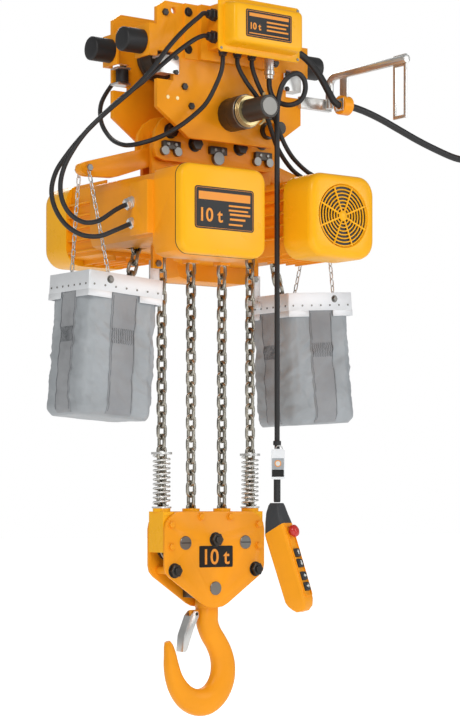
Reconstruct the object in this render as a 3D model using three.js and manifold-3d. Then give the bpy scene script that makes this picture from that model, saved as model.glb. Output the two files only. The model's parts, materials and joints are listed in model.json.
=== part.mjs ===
// Four-fall electric chain hoist on a motorised beam trolley, in millimetres.
// X runs along the beam, -Y is the operator's side and +Z is up. The origin is on the
// beam's centre line, at the height of the flange that the trolley wheels run on.
// Two equal hoist units hang side by side, turned half a turn from each other about Z.

import * as THREE from 'three';
import { mergeVertices } from 'three/addons/utils/BufferGeometryUtils.js';
import Module from 'manifold-3d';

const wasm = await Module();
wasm.setup();

// ---------- driving dimensions ----------
const GAP = 0.3; // left between neighbours that touch
const ROUND = 16; // sides of a large round piece
const SMALL_ROUND = 10; // sides of a small round piece

const PLATE_Y = 125; // outer face of a trolley side plate
const PLATE_T = 16;
const PLATE_HALF = 274;
const PLATE_TOP = 185;
const PLATE_BOTTOM = -215;
const NOTCH_X = 215; // inner edge of the guide roller notch
const WHEEL_X = 125;
const WHEEL_R = 62; // tread radius, so the axle sits this high
const WHEEL_FLANGE_R = 72;
const TREAD_IN = 40; // distance of the tread's inner edge from the beam's centre
const TREAD_OUT = 84; // half width of the beam flange
const AXLE_R = 20;
const ROLLER_R = 20;
const ROLLER_X = 245;
const ROLLER_H = 40;
const ROLLER_Z = -5;
const BUMPER_R = 35;
const BUMPER_LENGTH = 70;
const BUMPER_Z = 62;

const SHAFT_Z = -131; // suspension shaft
const SHAFT_R = 35;
const SHAFT_FRONT = 317;
const SHAFT_REAR = 165;

const FRAME_IN = 38; // inner face of a hanger frame plate
const FRAME_T = 14;
const FRAME_HALF = 235;
const FRAME_BOTTOM = -277;
const PIN_Z = -249;
const PIN_R = 14;
const PIN_XS = [152, 200];
const CENTRE_PIN_R = 20;

const PANEL_FRONT = 230; // front edge of the panel base
const PANEL_BACK = 150;
const PANEL_LEFT = -105;
const PANEL_RIGHT = 158;
const PANEL_LOW = 50;
const PANEL_HIGH = 182;
const LID_DEPTH = 46;

const CHAIN_R = 17; // envelope of an 11.2 x 34 mm link chain
const OUTER_FALL = 170;
const IDLE_R = 55.3; // pitch radius of a five-pocket sheave
const LOAD_R = 44.8; // pitch radius of a four-pocket sheave
const HOIST_X = OUTER_FALL + LOAD_R;
const INNER_FALL = OUTER_FALL - 2 * IDLE_R;
const IDLE_X = OUTER_FALL - IDLE_R;
const LOAD_Z = -445;

const CASE = { left: -365, right: -35, front: -240, back: 100, low: -545, high: -345 };
const CASE_WALL = 8;
const COVER = { left: -370, right: -60, front: -380, back: -352, low: -598, high: -336 };
const COVER_CORNER = 40;
const MOTOR_HALF = 122;
const MOTOR_Z = -450;
const MOTOR_END = 272;
const FAN_HALF = 126;
const FAN_END = 405;
const ROTOR_R = 62;
const FAN_R = 90;

const BAG = { x: -393, y: -33, halfX: 131.5, halfY: 109, top: -645, rim: 75, bottom: -1067 };
const BAG_TILT = THREE.MathUtils.degToRad(4);
const SHEET = 3;
const ARM_TIP = { x: -452, z: -321, r: 21 };
const ARM_T = 30;

const BLOCK_IN = 38; // inner face of a block plate
const BLOCK_T = 9;
const BLOCK_HALF = 191;
const BLOCK_TOP = -1340;
const BLOCK_SHOULDER = -1528;
const BLOCK_BOTTOM = -1637;
const IDLE_Z = -1436;
const SPRING_TOP = -1165;
const SPRING_R = 27;
const TRUNNION_Z = -1577;
const TRUNNION_R = 20;
const SHANK_R = 35;
const LATCH_PIVOT = { x: -50, z: -1656 };

const PENDANT = { x: 72, y: -262, z: -1314, yaw: THREE.MathUtils.degToRad(-70) };
const PENDANT_HALF = 31;
const TOW_X = 369;
const TOW_Z = 24;
const TOW_END = -517;
const CLAMP = { y: -222, z: -74 };

const JUMPER_R = 7;
const PENDANT_CABLE_R = 8;
const SUPPLY_R = 11;

// ---------- materials ----------
const paint = (color, roughness, metalness = 0) =>
  new THREE.MeshStandardMaterial({ color, roughness, metalness });
const orange = paint(0xf39a12, 0.35);
const yellow = paint(0xfbb40f, 0.3);
const zinc = paint(0xc9ccca, 0.35, 0.9);
const darkSteel = paint(0x3c3a36, 0.45, 0.8);
const chainSteel = paint(0x8d8a80, 0.35, 0.9);
const black = paint(0x17181a, 0.6);
const fabricGrey = paint(0x9a9da1, 0.85);
const white = paint(0xe9ecee, 0.5, 0.3);
const red = paint(0xc22a22, 0.4);

// ---------- solid helpers ----------
function solid(geometry) {
  const plain = geometry.clone();
  for (const name of ['normal', 'uv']) plain.deleteAttribute(name);
  const merged = mergeVertices(plain, 1e-4);
  const vertProperties = new Float32Array(merged.attributes.position.array);
  const triVerts = new Uint32Array(merged.index.array);
  let volume = 0;
  const corner = (k) => new THREE.Vector3().fromArray(vertProperties, 3 * triVerts[k]);
  for (let k = 0; k < triVerts.length; k += 3) {
    volume += corner(k).dot(corner(k + 1).cross(corner(k + 2)));
  }
  if (volume < 0) {
    for (let k = 0; k < triVerts.length; k += 3) {
      [triVerts[k + 1], triVerts[k + 2]] = [triVerts[k + 2], triVerts[k + 1]];
    }
  }
  return new wasm.Manifold(new wasm.Mesh({ numProp: 3, vertProperties, triVerts }));
}

function geometryOf(manifold) {
  const mesh = manifold.getMesh();
  const geometry = new THREE.BufferGeometry();
  geometry.setAttribute('position', new THREE.BufferAttribute(mesh.vertProperties, 3));
  geometry.setIndex(new THREE.BufferAttribute(mesh.triVerts, 1));
  return geometry;
}

const join = (pieces) => pieces.reduce((whole, piece) => whole.add(piece));
const cut = (whole, tools) => tools.reduce((rest, tool) => rest.subtract(tool), whole);

function span(x0, x1, y0, y1, z0, z1) {
  const geometry = new THREE.BoxGeometry(x1 - x0, y1 - y0, z1 - z0);
  return solid(geometry.translate((x0 + x1) / 2, (y0 + y1) / 2, (z0 + z1) / 2));
}

// A cylinder between two points.
function rod(from, to, radius, sides = SMALL_ROUND) {
  const a = new THREE.Vector3(...from);
  const b = new THREE.Vector3(...to);
  const along = b.clone().sub(a);
  const geometry = new THREE.CylinderGeometry(radius, radius, along.length(), sides);
  const turn = new THREE.Quaternion().setFromUnitVectors(
    new THREE.Vector3(0, 1, 0), along.clone().normalize());
  geometry.applyQuaternion(turn).translate(...a.add(b).multiplyScalar(0.5).toArray());
  return solid(geometry);
}

const rodY = (x, z, y0, y1, radius, sides = SMALL_ROUND) =>
  rod([x, y0, z], [x, y1, z], radius, sides);

// A closed profile of [radius, height] points turned about the Y axis through (x, z).
function turnedY(profile, x, z, sides = ROUND) {
  const points = [...profile, profile[0]].map(([r, h]) => new THREE.Vector2(r, h));
  return solid(new THREE.LatheGeometry(points, sides).translate(x, 0, z));
}

// The same, about the vertical axis through (x, y).
function turnedZ(profile, x, y, sides = ROUND) {
  const points = [...profile, profile[0]].map(([r, h]) => new THREE.Vector2(r, h));
  return solid(new THREE.LatheGeometry(points, sides).rotateX(Math.PI / 2).translate(x, y, 0));
}

// A polygon whose corners are rounded by one radius.
function roundedShape(points, radius) {
  const shape = new THREE.Shape();
  const corners = points.map(([x, y]) => new THREE.Vector2(x, y));
  corners.forEach((corner, k) => {
    const before = corners[(k + corners.length - 1) % corners.length];
    const after = corners[(k + 1) % corners.length];
    const reach = (other) =>
      Math.min(radius, corner.distanceTo(other) / 2.05) / corner.distanceTo(other);
    const start = corner.clone().lerp(before, reach(before));
    const end = corner.clone().lerp(after, reach(after));
    if (k === 0) shape.moveTo(start.x, start.y);
    else shape.lineTo(start.x, start.y);
    if (radius > 0) shape.quadraticCurveTo(corner.x, corner.y, end.x, end.y);
  });
  shape.closePath();
  return shape;
}

// An outline in the XZ plane, made solid from y0 to y1.
function slab(points, y0, y1, radius = 0, curveSegments = 2) {
  const shape = roundedShape(points, radius);
  const geometry = new THREE.ExtrudeGeometry(
    shape, { depth: y1 - y0, bevelEnabled: false, curveSegments });
  return solid(geometry.rotateX(Math.PI / 2).translate(0, y1, 0));
}

const rectangle = (x0, x1, z0, z1) => [[x0, z0], [x1, z0], [x1, z1], [x0, z1]];

// A path whose stretches each take a chosen number of steps, so that long straight
// stretches cost no triangles.
class SteppedPath extends THREE.Curve {
  constructor(points) {
    super();
    this.points = points;
  }

  getPoint(t, target = new THREE.Vector3()) {
    const place = t * (this.points.length - 1);
    const k = Math.min(Math.floor(place), this.points.length - 2);
    return target.copy(this.points[k]).lerp(this.points[k + 1], place - k);
  }

  getTangent(t, target = new THREE.Vector3()) {
    const place = Math.round(t * (this.points.length - 1));
    const before = this.points[Math.max(place - 1, 0)];
    const after = this.points[Math.min(place + 1, this.points.length - 1)];
    return target.copy(after).sub(before).normalize();
  }

  getUtoTmapping(u) {
    return u;
  }
}

function circle(radius, sides) {
  const shape = new THREE.Shape();
  for (let k = 0; k < sides; k += 1) {
    const angle = (2 * Math.PI * k) / sides;
    const [x, y] = [radius * Math.cos(angle), radius * Math.sin(angle)];
    if (k === 0) shape.moveTo(x, y);
    else shape.lineTo(x, y);
  }
  shape.closePath();
  return shape;
}

function tube(points, radius, sides = 8) {
  const path = new SteppedPath(points.map((p) => new THREE.Vector3(...p)));
  return solid(new THREE.ExtrudeGeometry(circle(radius, sides), {
    steps: points.length - 1, bevelEnabled: false, extrudePath: path }));
}

// A smooth cord through hand-chosen points.
function cord(points, radius, steps, sides = 6) {
  const curve = new THREE.CatmullRomCurve3(
    points.map((p) => new THREE.Vector3(...p)), false, 'centripetal');
  return solid(new THREE.ExtrudeGeometry(circle(radius, sides), {
    steps, bevelEnabled: false, extrudePath: curve }));
}

// ---------- assembly helpers ----------
const hoist = new THREE.Group();
hoist.name = 'chain_hoist';

function add(name, body, material, group = hoist) {
  const mesh = new THREE.Mesh(geometryOf(body), material);
  mesh.name = name;
  group.add(mesh);
}

const halfTurn = (body) => body.rotate([0, 0, 180]);

// ---------- trolley ----------
function sidePlate() {
  const outline = [
    [-PLATE_HALF, -133], [-157, PLATE_BOTTOM], [157, PLATE_BOTTOM], [PLATE_HALF, -133],
    [PLATE_HALF, -50], [NOTCH_X, -50], [NOTCH_X, 35], [PLATE_HALF, 35],
    [PLATE_HALF, 165], [246, PLATE_TOP], [-246, PLATE_TOP], [-PLATE_HALF, 165],
    [-PLATE_HALF, 35], [-NOTCH_X, 35], [-NOTCH_X, -50], [-PLATE_HALF, -50]];
  const inner = -PLATE_Y + PLATE_T;
  let plate = slab(outline, -PLATE_Y, inner);
  plate = cut(plate, [rodY(0, SHAFT_Z, -PLATE_Y - 5, inner + 5, SHAFT_R + 0.7, ROUND)]);
  const pieces = [plate];
  for (const side of [-1, 1]) {
    const ends = (a, b) => [Math.min(side * a, side * b), Math.max(side * a, side * b)];
    const bracketEnd = PLATE_HALF + 28;
    pieces.push(
      rodY(side * WHEEL_X, WHEEL_R, inner - 1, -TREAD_IN - 4, AXLE_R, ROUND),
      span(...ends(PLATE_HALF - 1, bracketEnd), -PLATE_Y, -PLATE_Y + 12, 18, 112),
      span(...ends(bracketEnd - 8, bracketEnd), -PLATE_Y, -48, 18, 112),
      rod([side * (bracketEnd - 1), -84, BUMPER_Z],
        [side * (bracketEnd + BUMPER_LENGTH), -84, BUMPER_Z], BUMPER_R, ROUND),
      ...guideBracket(ends));
  }
  return join(pieces).subtract(rodY(-214, 160, -PLATE_Y - 5, inner + 5, 10));
}

// The C-shaped holder of a guide roller and the pin that the roller turns on.
function guideBracket(ends) {
  const top = ROLLER_Z + ROLLER_H / 2 + 0.5;
  const low = ROLLER_Z - ROLLER_H / 2 - 0.5;
  const outer = -PLATE_Y - 8;
  const lug = ends(ROLLER_X - 23, ROLLER_X + 23);
  const [x] = [ends(ROLLER_X, ROLLER_X)[0]];
  return [
    span(...ends(NOTCH_X - 15, ROLLER_X + 23), outer, -PLATE_Y + 0.5, low - 6, top + 6),
    span(...lug, outer, -92, top, top + 6),
    span(...lug, outer, -92, low - 6, low),
    rod([x, -104, low - 3], [x, -104, top + 3], 6, 12)];
}

function panelBracket() {
  const face = -PANEL_BACK;
  return [
    span(-130, 130, face, face + 8, 20, PLATE_TOP),
    ...[-1, 1].flatMap((side) => {
      const ends = (a, b) => [Math.min(side * a, side * b), Math.max(side * a, side * b)];
      return [
        span(...ends(122, 130), face, -PLATE_Y + 0.5, 20, PLATE_TOP),
        span(...ends(122, 178), -PLATE_Y - 8, -PLATE_Y + 0.5, 20, PLATE_TOP)];
    })];
}

function trolley() {
  const stopPin = rodY(138, -165, -195, -PLATE_Y + 1, 20);
  add('side_plate_front', join([sidePlate(), ...panelBracket(), stopPin]), orange);
  add('side_plate_rear', halfTurn(sidePlate()), orange);

  const wheelNames = ['wheel_front_left', 'wheel_front_right', 'wheel_rear_right', 'wheel_rear_left'];
  const rollerNames = wheelNames.map((name) => name.replace('wheel', 'guide_roller'));
  const hub = PLATE_Y - PLATE_T - GAP;
  wheelNames.forEach((name, k) => {
    const x = k % 2 === 0 ? -WHEEL_X : WHEEL_X;
    const wheel = turnedY([
      [AXLE_R + 0.8, -hub], [36, -hub], [36, -98], [WHEEL_FLANGE_R, -98],
      [WHEEL_FLANGE_R, -TREAD_OUT - 2], [WHEEL_R, -TREAD_OUT - 2], [WHEEL_R, -TREAD_IN],
      [AXLE_R + 0.8, -TREAD_IN]], x, WHEEL_R);
    add(name, k < 2 ? wheel : halfTurn(wheel), darkSteel);
  });
  rollerNames.forEach((name, k) => {
    const x = k % 2 === 0 ? -ROLLER_X : ROLLER_X;
    const low = ROLLER_Z - ROLLER_H / 2;
    const high = ROLLER_Z + ROLLER_H / 2;
    const roller = turnedZ(
      [[6.7, low], [ROLLER_R, low], [ROLLER_R, high], [6.7, high]], x, -104, SMALL_ROUND);
    add(name, k < 2 ? roller : halfTurn(roller), black);
  });

  const inner = PLATE_Y - PLATE_T - GAP;
  const frameOut = FRAME_IN + FRAME_T + GAP;
  const disc = (y0, y1, r) => rodY(0, SHAFT_Z, y0, y1, r, ROUND);
  add('suspension_shaft', join([
    disc(-SHAFT_FRONT, SHAFT_REAR, SHAFT_R),
    disc(-165, -PLATE_Y - GAP, 51), disc(-200, -164, 52),
    disc(PLATE_Y + GAP, 150, 51),
    disc(-inner, -frameOut, 48), disc(frameOut, inner, 48)]), darkSteel);

  add('trolley_motor', join([
    slab(rectangle(-88, 88, 12, 150), PLATE_Y + GAP, 200, 24),
    rodY(0, 90, 199, 330, 62, ROUND), rodY(0, 90, 329, 385, 66, ROUND)]), orange);
}

// ---------- control panel ----------
function panel() {
  const [back, front] = [-PANEL_BACK - GAP, -PANEL_FRONT];
  const shell = span(PANEL_LEFT, PANEL_RIGHT, front, back, PANEL_LOW, PANEL_HIGH)
    .subtract(span(PANEL_LEFT + 5, PANEL_RIGHT - 5, front - 5, back - 5, PANEL_LOW + 5, PANEL_HIGH - 5));
  const y = -190;
  const glandBelow = (x) => [
    rod([x, y, PANEL_LOW + 2], [x, y, 40], 15, 6), rod([x, y, 41], [x, y, 30], 11, 12)];
  const glandLeft = (z) => [
    rod([PANEL_LEFT + 2, y, z], [-122, y, z], 18, 6), rod([-121, y, z], [-135, y, z], 12, 12)];
  add('panel_base', join([
    shell, ...[-79, -24, 31].flatMap(glandBelow), ...[148, 82].flatMap(glandLeft),
    rod([PANEL_RIGHT - 2, y, 75], [176, y, 75], 19, 6), rod([175, y, 75], [190, y, 75], 15, 12),
    rod([98, y, PANEL_LOW + 2], [98, y, 10], 14, 12), rod([98, y, 11], [98, y, -19], 12, 12)]), orange);

  const lip = front - GAP;
  const lidFront = lip - 6 - LID_DEPTH;
  const lid = join([
    slab(rectangle(-128, 181, 33, 199), lip - 6, lip, 10),
    slab(rectangle(-103, 154, 54, 178), lidFront, lip - 5, 12)]);
  add('panel_cover', lid.subtract(
    slab(rectangle(-98, 149, 59, 173), lidFront + 5, lip + 5, 8)), yellow);
}

function towArm() {
  const bend = [];
  for (let k = 0; k <= 5; k += 1) {
    const angle = (Math.PI / 2) * (k / 5);
    bend.push([TOW_X, -152 - 30 * (1 - Math.cos(angle)), TOW_Z - 30 + 30 * Math.sin(angle)]);
  }
  const pipe = tube([[TOW_X, -152, -74], ...bend, [TOW_X, TOW_END, TOW_Z]], 13, 10);
  const bar = span(262, TOW_X + 18, -141, -PLATE_Y - GAP, -80, -44);
  const clampHalf = 19;
  const clamp = span(TOW_X - clampHalf, TOW_X + clampHalf, CLAMP.y - 20, CLAMP.y + 20,
    CLAMP.z - 20, CLAMP.z + 20).subtract(
    rod([TOW_X - 40, CLAMP.y, CLAMP.z], [TOW_X + 40, CLAMP.y, CLAMP.z], SUPPLY_R + 2.6, 12));
  const hanger = span(TOW_X - 3, TOW_X + 3, CLAMP.y - 17, CLAMP.y + 17, CLAMP.z + 18, TOW_Z);
  const slotted = span(TOW_X - 3, TOW_X + 3, -514, -456, -153, TOW_Z + 16)
    .subtract(span(TOW_X - 10, TOW_X + 10, -504, -466, -143, TOW_Z - 20));
  add('tow_arm', join([pipe, bar, clamp, hanger, slotted]), zinc);
}

// ---------- hanger frame ----------
const FRAME_OUTLINE = [
  [-FRAME_HALF, FRAME_BOTTOM], [FRAME_HALF, FRAME_BOTTOM], [FRAME_HALF, -185],
  [180, -130], [92, -126], [64, -78], [-64, -78], [-92, -126], [-180, -130], [-FRAME_HALF, -185]];
const TIE_BOLTS = [[-175, -187], [-84, -218], [88, -213], [175, -187]];

function frame() {
  const [inner, outer] = [FRAME_IN, FRAME_IN + FRAME_T];
  const plate = slab(FRAME_OUTLINE, -outer, -inner, 36)
    .subtract(rodY(0, SHAFT_Z, -60, -30, SHAFT_R + 0.7, ROUND));
  const pinXs = PIN_XS.flatMap((x) => [-x, x]);
  const tail = outer + 8;
  const keyPlate = (x0, x1, z0) => span(x0, x1, -outer - 12, -outer + 0.5, z0, z0 + 24);
  const [pinIn, pinOut] = PIN_XS;
  add('frame_plate_front', join([
    plate,
    ...pinXs.map((x) => rodY(x, PIN_Z, -outer - 12, tail, PIN_R)),
    rodY(0, -255, -outer - 14, tail, CENTRE_PIN_R),
    keyPlate(pinIn - 8, pinOut + 8, PIN_Z + 6), keyPlate(-pinOut - 8, -pinIn + 8, PIN_Z + 6),
    keyPlate(-32, 32, -243),
    ...TIE_BOLTS.map(([x, z]) => rodY(x, z, -inner - 1, inner - GAP, 13)),
    ...TIE_BOLTS.map(([x, z]) => rodY(x, z, -outer - 20, -outer + 1, 17, 6))]), orange);
  const rear = slab(FRAME_OUTLINE, inner, outer, 36);
  add('frame_plate_rear', cut(rear, [
    rodY(0, SHAFT_Z, 30, 60, SHAFT_R + 0.7, ROUND),
    ...pinXs.map((x) => rodY(x, PIN_Z, 30, 60, PIN_R + 0.6)),
    rodY(0, -255, 30, 60, CENTRE_PIN_R + 0.7)]), orange);
}

// ---------- one hoist unit, drawn for the left place ----------
function gearCase() {
  const c = CASE;
  const w = CASE_WALL;
  const shell = slab(rectangle(c.left, c.right, c.low, c.high), c.front, c.back, 34)
    .subtract(slab(rectangle(c.left + w, c.right - w, c.low + w, c.high - w),
      c.front + w, c.back - w, 28));
  const housing = slab(rectangle(COVER.left, COVER.right, COVER.low, COVER.high),
    COVER.back, c.front + 1, COVER_CORNER)
    .subtract(slab(rectangle(COVER.left + w, COVER.right - w, COVER.low + w, COVER.high - w),
      COVER.back - 5, c.front - w, COVER_CORNER - w));
  const lug = (y0, y1) => slab([[-228, c.high - 4], [-124, c.high - 4], [-124, -222], [-228, -222]],
    y0, y1, 12);
  const block = solid(new THREE.ExtrudeGeometry(roundedShape(
    [[c.left + 3, -243], [-392, -243], [-384, -140], [c.left + 3, -140]], 3),
  { depth: 155, bevelEnabled: false, curveSegments: 2 }).translate(0, 0, -530));
  const body = join([
    shell, housing, lug(-31, -17), lug(17, 31), block,
    rod([-361, -157, -422], [-404, -150, -441], 15, 12),
    rod([-347, -157, -477], [-390, -150, -496], 15, 12),
    span(-78, -41, -20, 20, -575, c.low + 2),
    span(-272, -236, -100, -88, -612, c.low + 2)]);
  return cut(body, [
    ...PIN_XS.map((x) => rodY(-x, PIN_Z, -40, 40, PIN_R + 0.7)),
    rod([-OUTER_FALL, 0, c.low - 5], [-OUTER_FALL, 0, c.low + w + 5], CHAIN_R + 4),
    span(-292, -236, -CHAIN_R - 4, CHAIN_R + 4, c.low - 5, c.low + w + 5),
    rodY(-HOIST_X, MOTOR_Z, c.back - w - 5, c.back + 5, 22),
    rodY(-254, -598, -110, -80, 7.8)]);
}

function controlCover() {
  const outline = (inset) => rectangle(
    COVER.left + inset, COVER.right - inset, COVER.low + inset, COVER.high - inset);
  return slab(outline(0.5), COVER.front, COVER.back - GAP, COVER_CORNER)
    .subtract(slab(outline(7), COVER.front + 6, COVER.back + 5, COVER_CORNER - 7));
}

// A square motor housing with cooling fins on its four sides and a round bore.
function motorFrame() {
  const half = MOTOR_HALF;
  const root = half - 14;
  const count = 5;
  const pitch = (2 * (half - 30)) / count;
  const side = [];
  for (let k = 0; k < count; k += 1) {
    const start = -half + 30 + k * pitch;
    side.push([start, root], [start, half], [start + 6, half], [start + 6, root]);
  }
  const outline = [];
  for (let quarter = 0; quarter < 4; quarter += 1) {
    const angle = -quarter * (Math.PI / 2);
    for (const [u, v] of [...side, [root, root - 4]]) {
      outline.push([
        -HOIST_X + u * Math.cos(angle) - v * Math.sin(angle),
        MOTOR_Z + u * Math.sin(angle) + v * Math.cos(angle)]);
    }
  }
  const start = CASE.back + GAP;
  const body = slab(outline, start, MOTOR_END)
    .subtract(rodY(-HOIST_X, MOTOR_Z, start - 5, MOTOR_END - 10, ROTOR_R + 10, ROUND));
  return body.subtract(rodY(-HOIST_X, MOTOR_Z, MOTOR_END - 15, MOTOR_END + 5, 20));
}

function fanCover() {
  const half = FAN_HALF;
  const start = MOTOR_END + GAP;
  const square = (inset) => rectangle(-HOIST_X - half + inset, -HOIST_X + half - inset,
    MOTOR_Z - half + inset, MOTOR_Z + half - inset);
  const shell = slab(square(0), start, FAN_END, 60)
    .subtract(slab(square(5), start - 5, FAN_END - 6, 55));
  const windows = [];
  for (let k = 0; k < 8; k += 1) {
    const middle = (Math.PI / 4) * k;
    const sector = [];
    for (const [radius, sweep] of [[28, 0.24], [92, 0.34]]) {
      const angles = radius === 28 ? [-sweep, sweep] : [sweep, 0, -sweep];
      for (const angle of angles) {
        sector.push([-HOIST_X + radius * Math.cos(middle + angle),
          MOTOR_Z + radius * Math.sin(middle + angle)]);
      }
    }
    windows.push(slab(sector, FAN_END - 12, FAN_END + 5));
  }
  return cut(shell, windows);
}

function fanRotor() {
  const at = (y0, y1, r, sides = SMALL_ROUND) => rodY(-HOIST_X, MOTOR_Z, y0, y1, r, sides);
  const blades = [];
  for (let k = 0; k < 6; k += 1) {
    const blade = new THREE.BoxGeometry(FAN_R - 10, 34, 5).translate((FAN_R - 10) / 2 + 10, 0, 0);
    blade.rotateY((Math.PI / 3) * k).translate(-HOIST_X, 328, MOTOR_Z);
    blades.push(solid(blade));
  }
  return join([at(70, 385, 14), at(125, 240, ROTOR_R), at(300, 312, FAN_R, ROUND),
    at(300, 350, 26), ...blades]);
}

function loadSheave() {
  const core = LOAD_R - CHAIN_R - 1;
  const rim = LOAD_R + 13;
  return turnedY([
    [0, -200], [18, -200], [18, -150], [82, -150], [82, -130], [18, -130], [18, -25],
    [rim, -25], [rim, -19], [core, -19], [core, 19], [rim, 19], [rim, 25], [18, 25],
    [18, 58], [0, 58]], -HOIST_X, LOAD_Z);
}

// The chain runs from its anchor down the inner fall, round the idle sheave, up the outer
// fall, over the load sheave and down into the bag.
function loadChain() {
  const points = [[-INNER_FALL, 0, -575 - GAP]];
  const arc = (cx, cz, radius, from, to) => {
    for (let k = 0; k <= 8; k += 1) {
      const angle = from + ((to - from) * k) / 8;
      points.push([cx + radius * Math.cos(angle), 0, cz + radius * Math.sin(angle)]);
    }
  };
  arc(-IDLE_X, IDLE_Z, IDLE_R, 0, -Math.PI);
  arc(-HOIST_X, LOAD_Z, LOAD_R, 0, Math.PI);
  points.push([-260, 0, -500], [-270, 0, -575], [-290, 0, -645], [-306, 0, -720], [-308, 0, -790]);
  return tube(points, CHAIN_R);
}

function bagTilted(body) {
  const centre = [BAG.x, BAG.y, BAG.top];
  return body.translate(centre.map((v) => -v))
    .rotate([0, THREE.MathUtils.radToDeg(BAG_TILT), 0]).translate(centre);
}

function bagFrame() {
  const { x, y, halfX, halfY, top, rim } = BAG;
  const ring = bagTilted(span(x - halfX, x + halfX, y - halfY, y + halfY, top - rim, top)
    .subtract(span(x - halfX + SHEET, x + halfX - SHEET, y - halfY + SHEET, y + halfY - SHEET,
      top - rim - 5, top + 5)));
  const hang = (side) => rod([ARM_TIP.x, side * 26, ARM_TIP.z - 13],
    [ARM_TIP.x, y + side * (halfY - 5), top - 20], 4.5, 8);
  const bolt = (side) => rodY(ARM_TIP.x, top - 20, y + side * (halfY - 9), y + side * (halfY + 6), 7, 8);
  const strap = span(-274, -240, -87.5, -81.5, top - 30, -588);
  const foot = span(-274, x + halfX + 6, -87.5, -60, top - 50, top - 26);
  return join([ring, hang(-1), hang(1), bolt(-1), bolt(1), strap, foot,
    rodY(-254, -598, -105, -82, 7)]);
}

function chainBag() {
  const { x, y, halfX, halfY, top, rim, bottom } = BAG;
  const inset = SHEET + 1;
  const wall = 4;
  const box = (grow, z0, z1) => span(x - halfX + inset - grow, x + halfX - inset + grow,
    y - halfY + inset - grow, y + halfY - inset + grow, z0, z1);
  const outside = join([box(0, bottom + 20, top - 46), box(4, bottom, top - rim - 1)]);
  return bagTilted(outside.subtract(box(-wall, bottom + 6, top)));
}

function bagArm() {
  const outline = [[-128, -228], [-225, -236], [-340, -268], [-452, -300], [-474, -308],
    [-474, -334], [-452, -342], [-348, -338], [-240, -300], [-128, -272]];
  const arm = slab(outline, -ARM_T / 2, ARM_T / 2, 12, 3);
  const drilled = cut(arm, PIN_XS.map((x) => rodY(-x, PIN_Z, -40, 40, PIN_R + 0.7)));
  return drilled.add(rodY(ARM_TIP.x, ARM_TIP.z, -34, 34, 8));
}

function hoistUnit(side) {
  const group = new THREE.Group();
  if (side === 'right') group.rotation.z = Math.PI;
  hoist.add(group);
  add(`gear_case_${side}`, gearCase(), orange, group);
  add(`control_cover_${side}`, controlCover(), yellow, group);
  add(`motor_frame_${side}`, motorFrame(), orange, group);
  add(`fan_cover_${side}`, fanCover(), yellow, group);
  add(`fan_rotor_${side}`, fanRotor(), black, group);
  add(`load_sheave_${side}`, loadSheave(), darkSteel, group);
  add(`load_chain_${side}`, loadChain(), chainSteel, group);
  add(`bag_frame_${side}`, bagFrame(), white, group);
  add(`chain_bag_${side}`, chainBag(), fabricGrey, group);
  add(`bag_arm_${side}`, bagArm(), orange, group);
}

// ---------- load block ----------
const BLOCK_OUTLINE = [
  [-BLOCK_HALF, -1372], [-150, BLOCK_TOP], [150, BLOCK_TOP], [BLOCK_HALF, -1372],
  [BLOCK_HALF, BLOCK_SHOULDER], [30, BLOCK_BOTTOM], [-30, BLOCK_BOTTOM], [-BLOCK_HALF, BLOCK_SHOULDER]];
const SPACER_BOLTS = [[0, -1427], [-155, -1520], [155, -1520]];

function blockPlates() {
  const [inner, outer] = [BLOCK_IN, BLOCK_IN + BLOCK_T];
  const trunnionHole = (y0, y1) => rodY(0, TRUNNION_Z, y0, y1, TRUNNION_R + 0.7);
  const front = slab(BLOCK_OUTLINE, -outer, -inner, 22).subtract(trunnionHole(-60, -30));
  add('block_plate_front', join([
    front,
    ...[-1, 1].map((side) => rodY(side * IDLE_X, IDLE_Z, -outer - 3, outer + 2, 20, ROUND)),
    ...SPACER_BOLTS.map(([x, z]) => rodY(x, z, -inner - 1, inner - GAP, 12)),
    ...SPACER_BOLTS.map(([x, z]) => rodY(x, z, -outer - 16, -outer + 1, 17, 6))]), orange);
  add('block_plate_rear', cut(slab(BLOCK_OUTLINE, inner, outer, 22), [
    trunnionHole(30, 60),
    ...[-1, 1].map((side) => rodY(side * IDLE_X, IDLE_Z, 30, 60, 20.8, ROUND))]), orange);
}

// Guides for the four falls at the top of the block, with the two cushion springs.
function fallGuide() {
  const y = BLOCK_IN - GAP;
  const pieces = [span(-BLOCK_HALF + 3, BLOCK_HALF - 3, -y, y, BLOCK_TOP - 14, BLOCK_TOP)];
  for (const side of [-1, 1]) {
    const ends = (a, b) => [Math.min(side * a, side * b), Math.max(side * a, side * b)];
    pieces.push(
      span(...ends(BLOCK_HALF - 3, BLOCK_HALF), -y, y, -1465, BLOCK_TOP),
      span(...ends(148, BLOCK_HALF), -y, -28, -1465, BLOCK_TOP),
      span(...ends(148, BLOCK_HALF), 28, y, -1465, BLOCK_TOP),
      span(...ends(INNER_FALL - 25, INNER_FALL + 25), -30, 30, BLOCK_TOP - 1, BLOCK_TOP + 6),
      turnedZ([[CHAIN_R + 2.5, BLOCK_TOP - 1], [SPRING_R, BLOCK_TOP - 1], [SPRING_R, SPRING_TOP],
        [32, SPRING_TOP], [32, SPRING_TOP + 6], [CHAIN_R + 2.5, SPRING_TOP + 6]],
      side * OUTER_FALL, 0));
  }
  const holes = [-OUTER_FALL, -INNER_FALL, INNER_FALL, OUTER_FALL].map((x) =>
    rod([x, 0, BLOCK_TOP - 30], [x, 0, BLOCK_TOP + 20], CHAIN_R + 2.5, ROUND));
  add('fall_guide', cut(join(pieces), holes), yellow);
}

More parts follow.
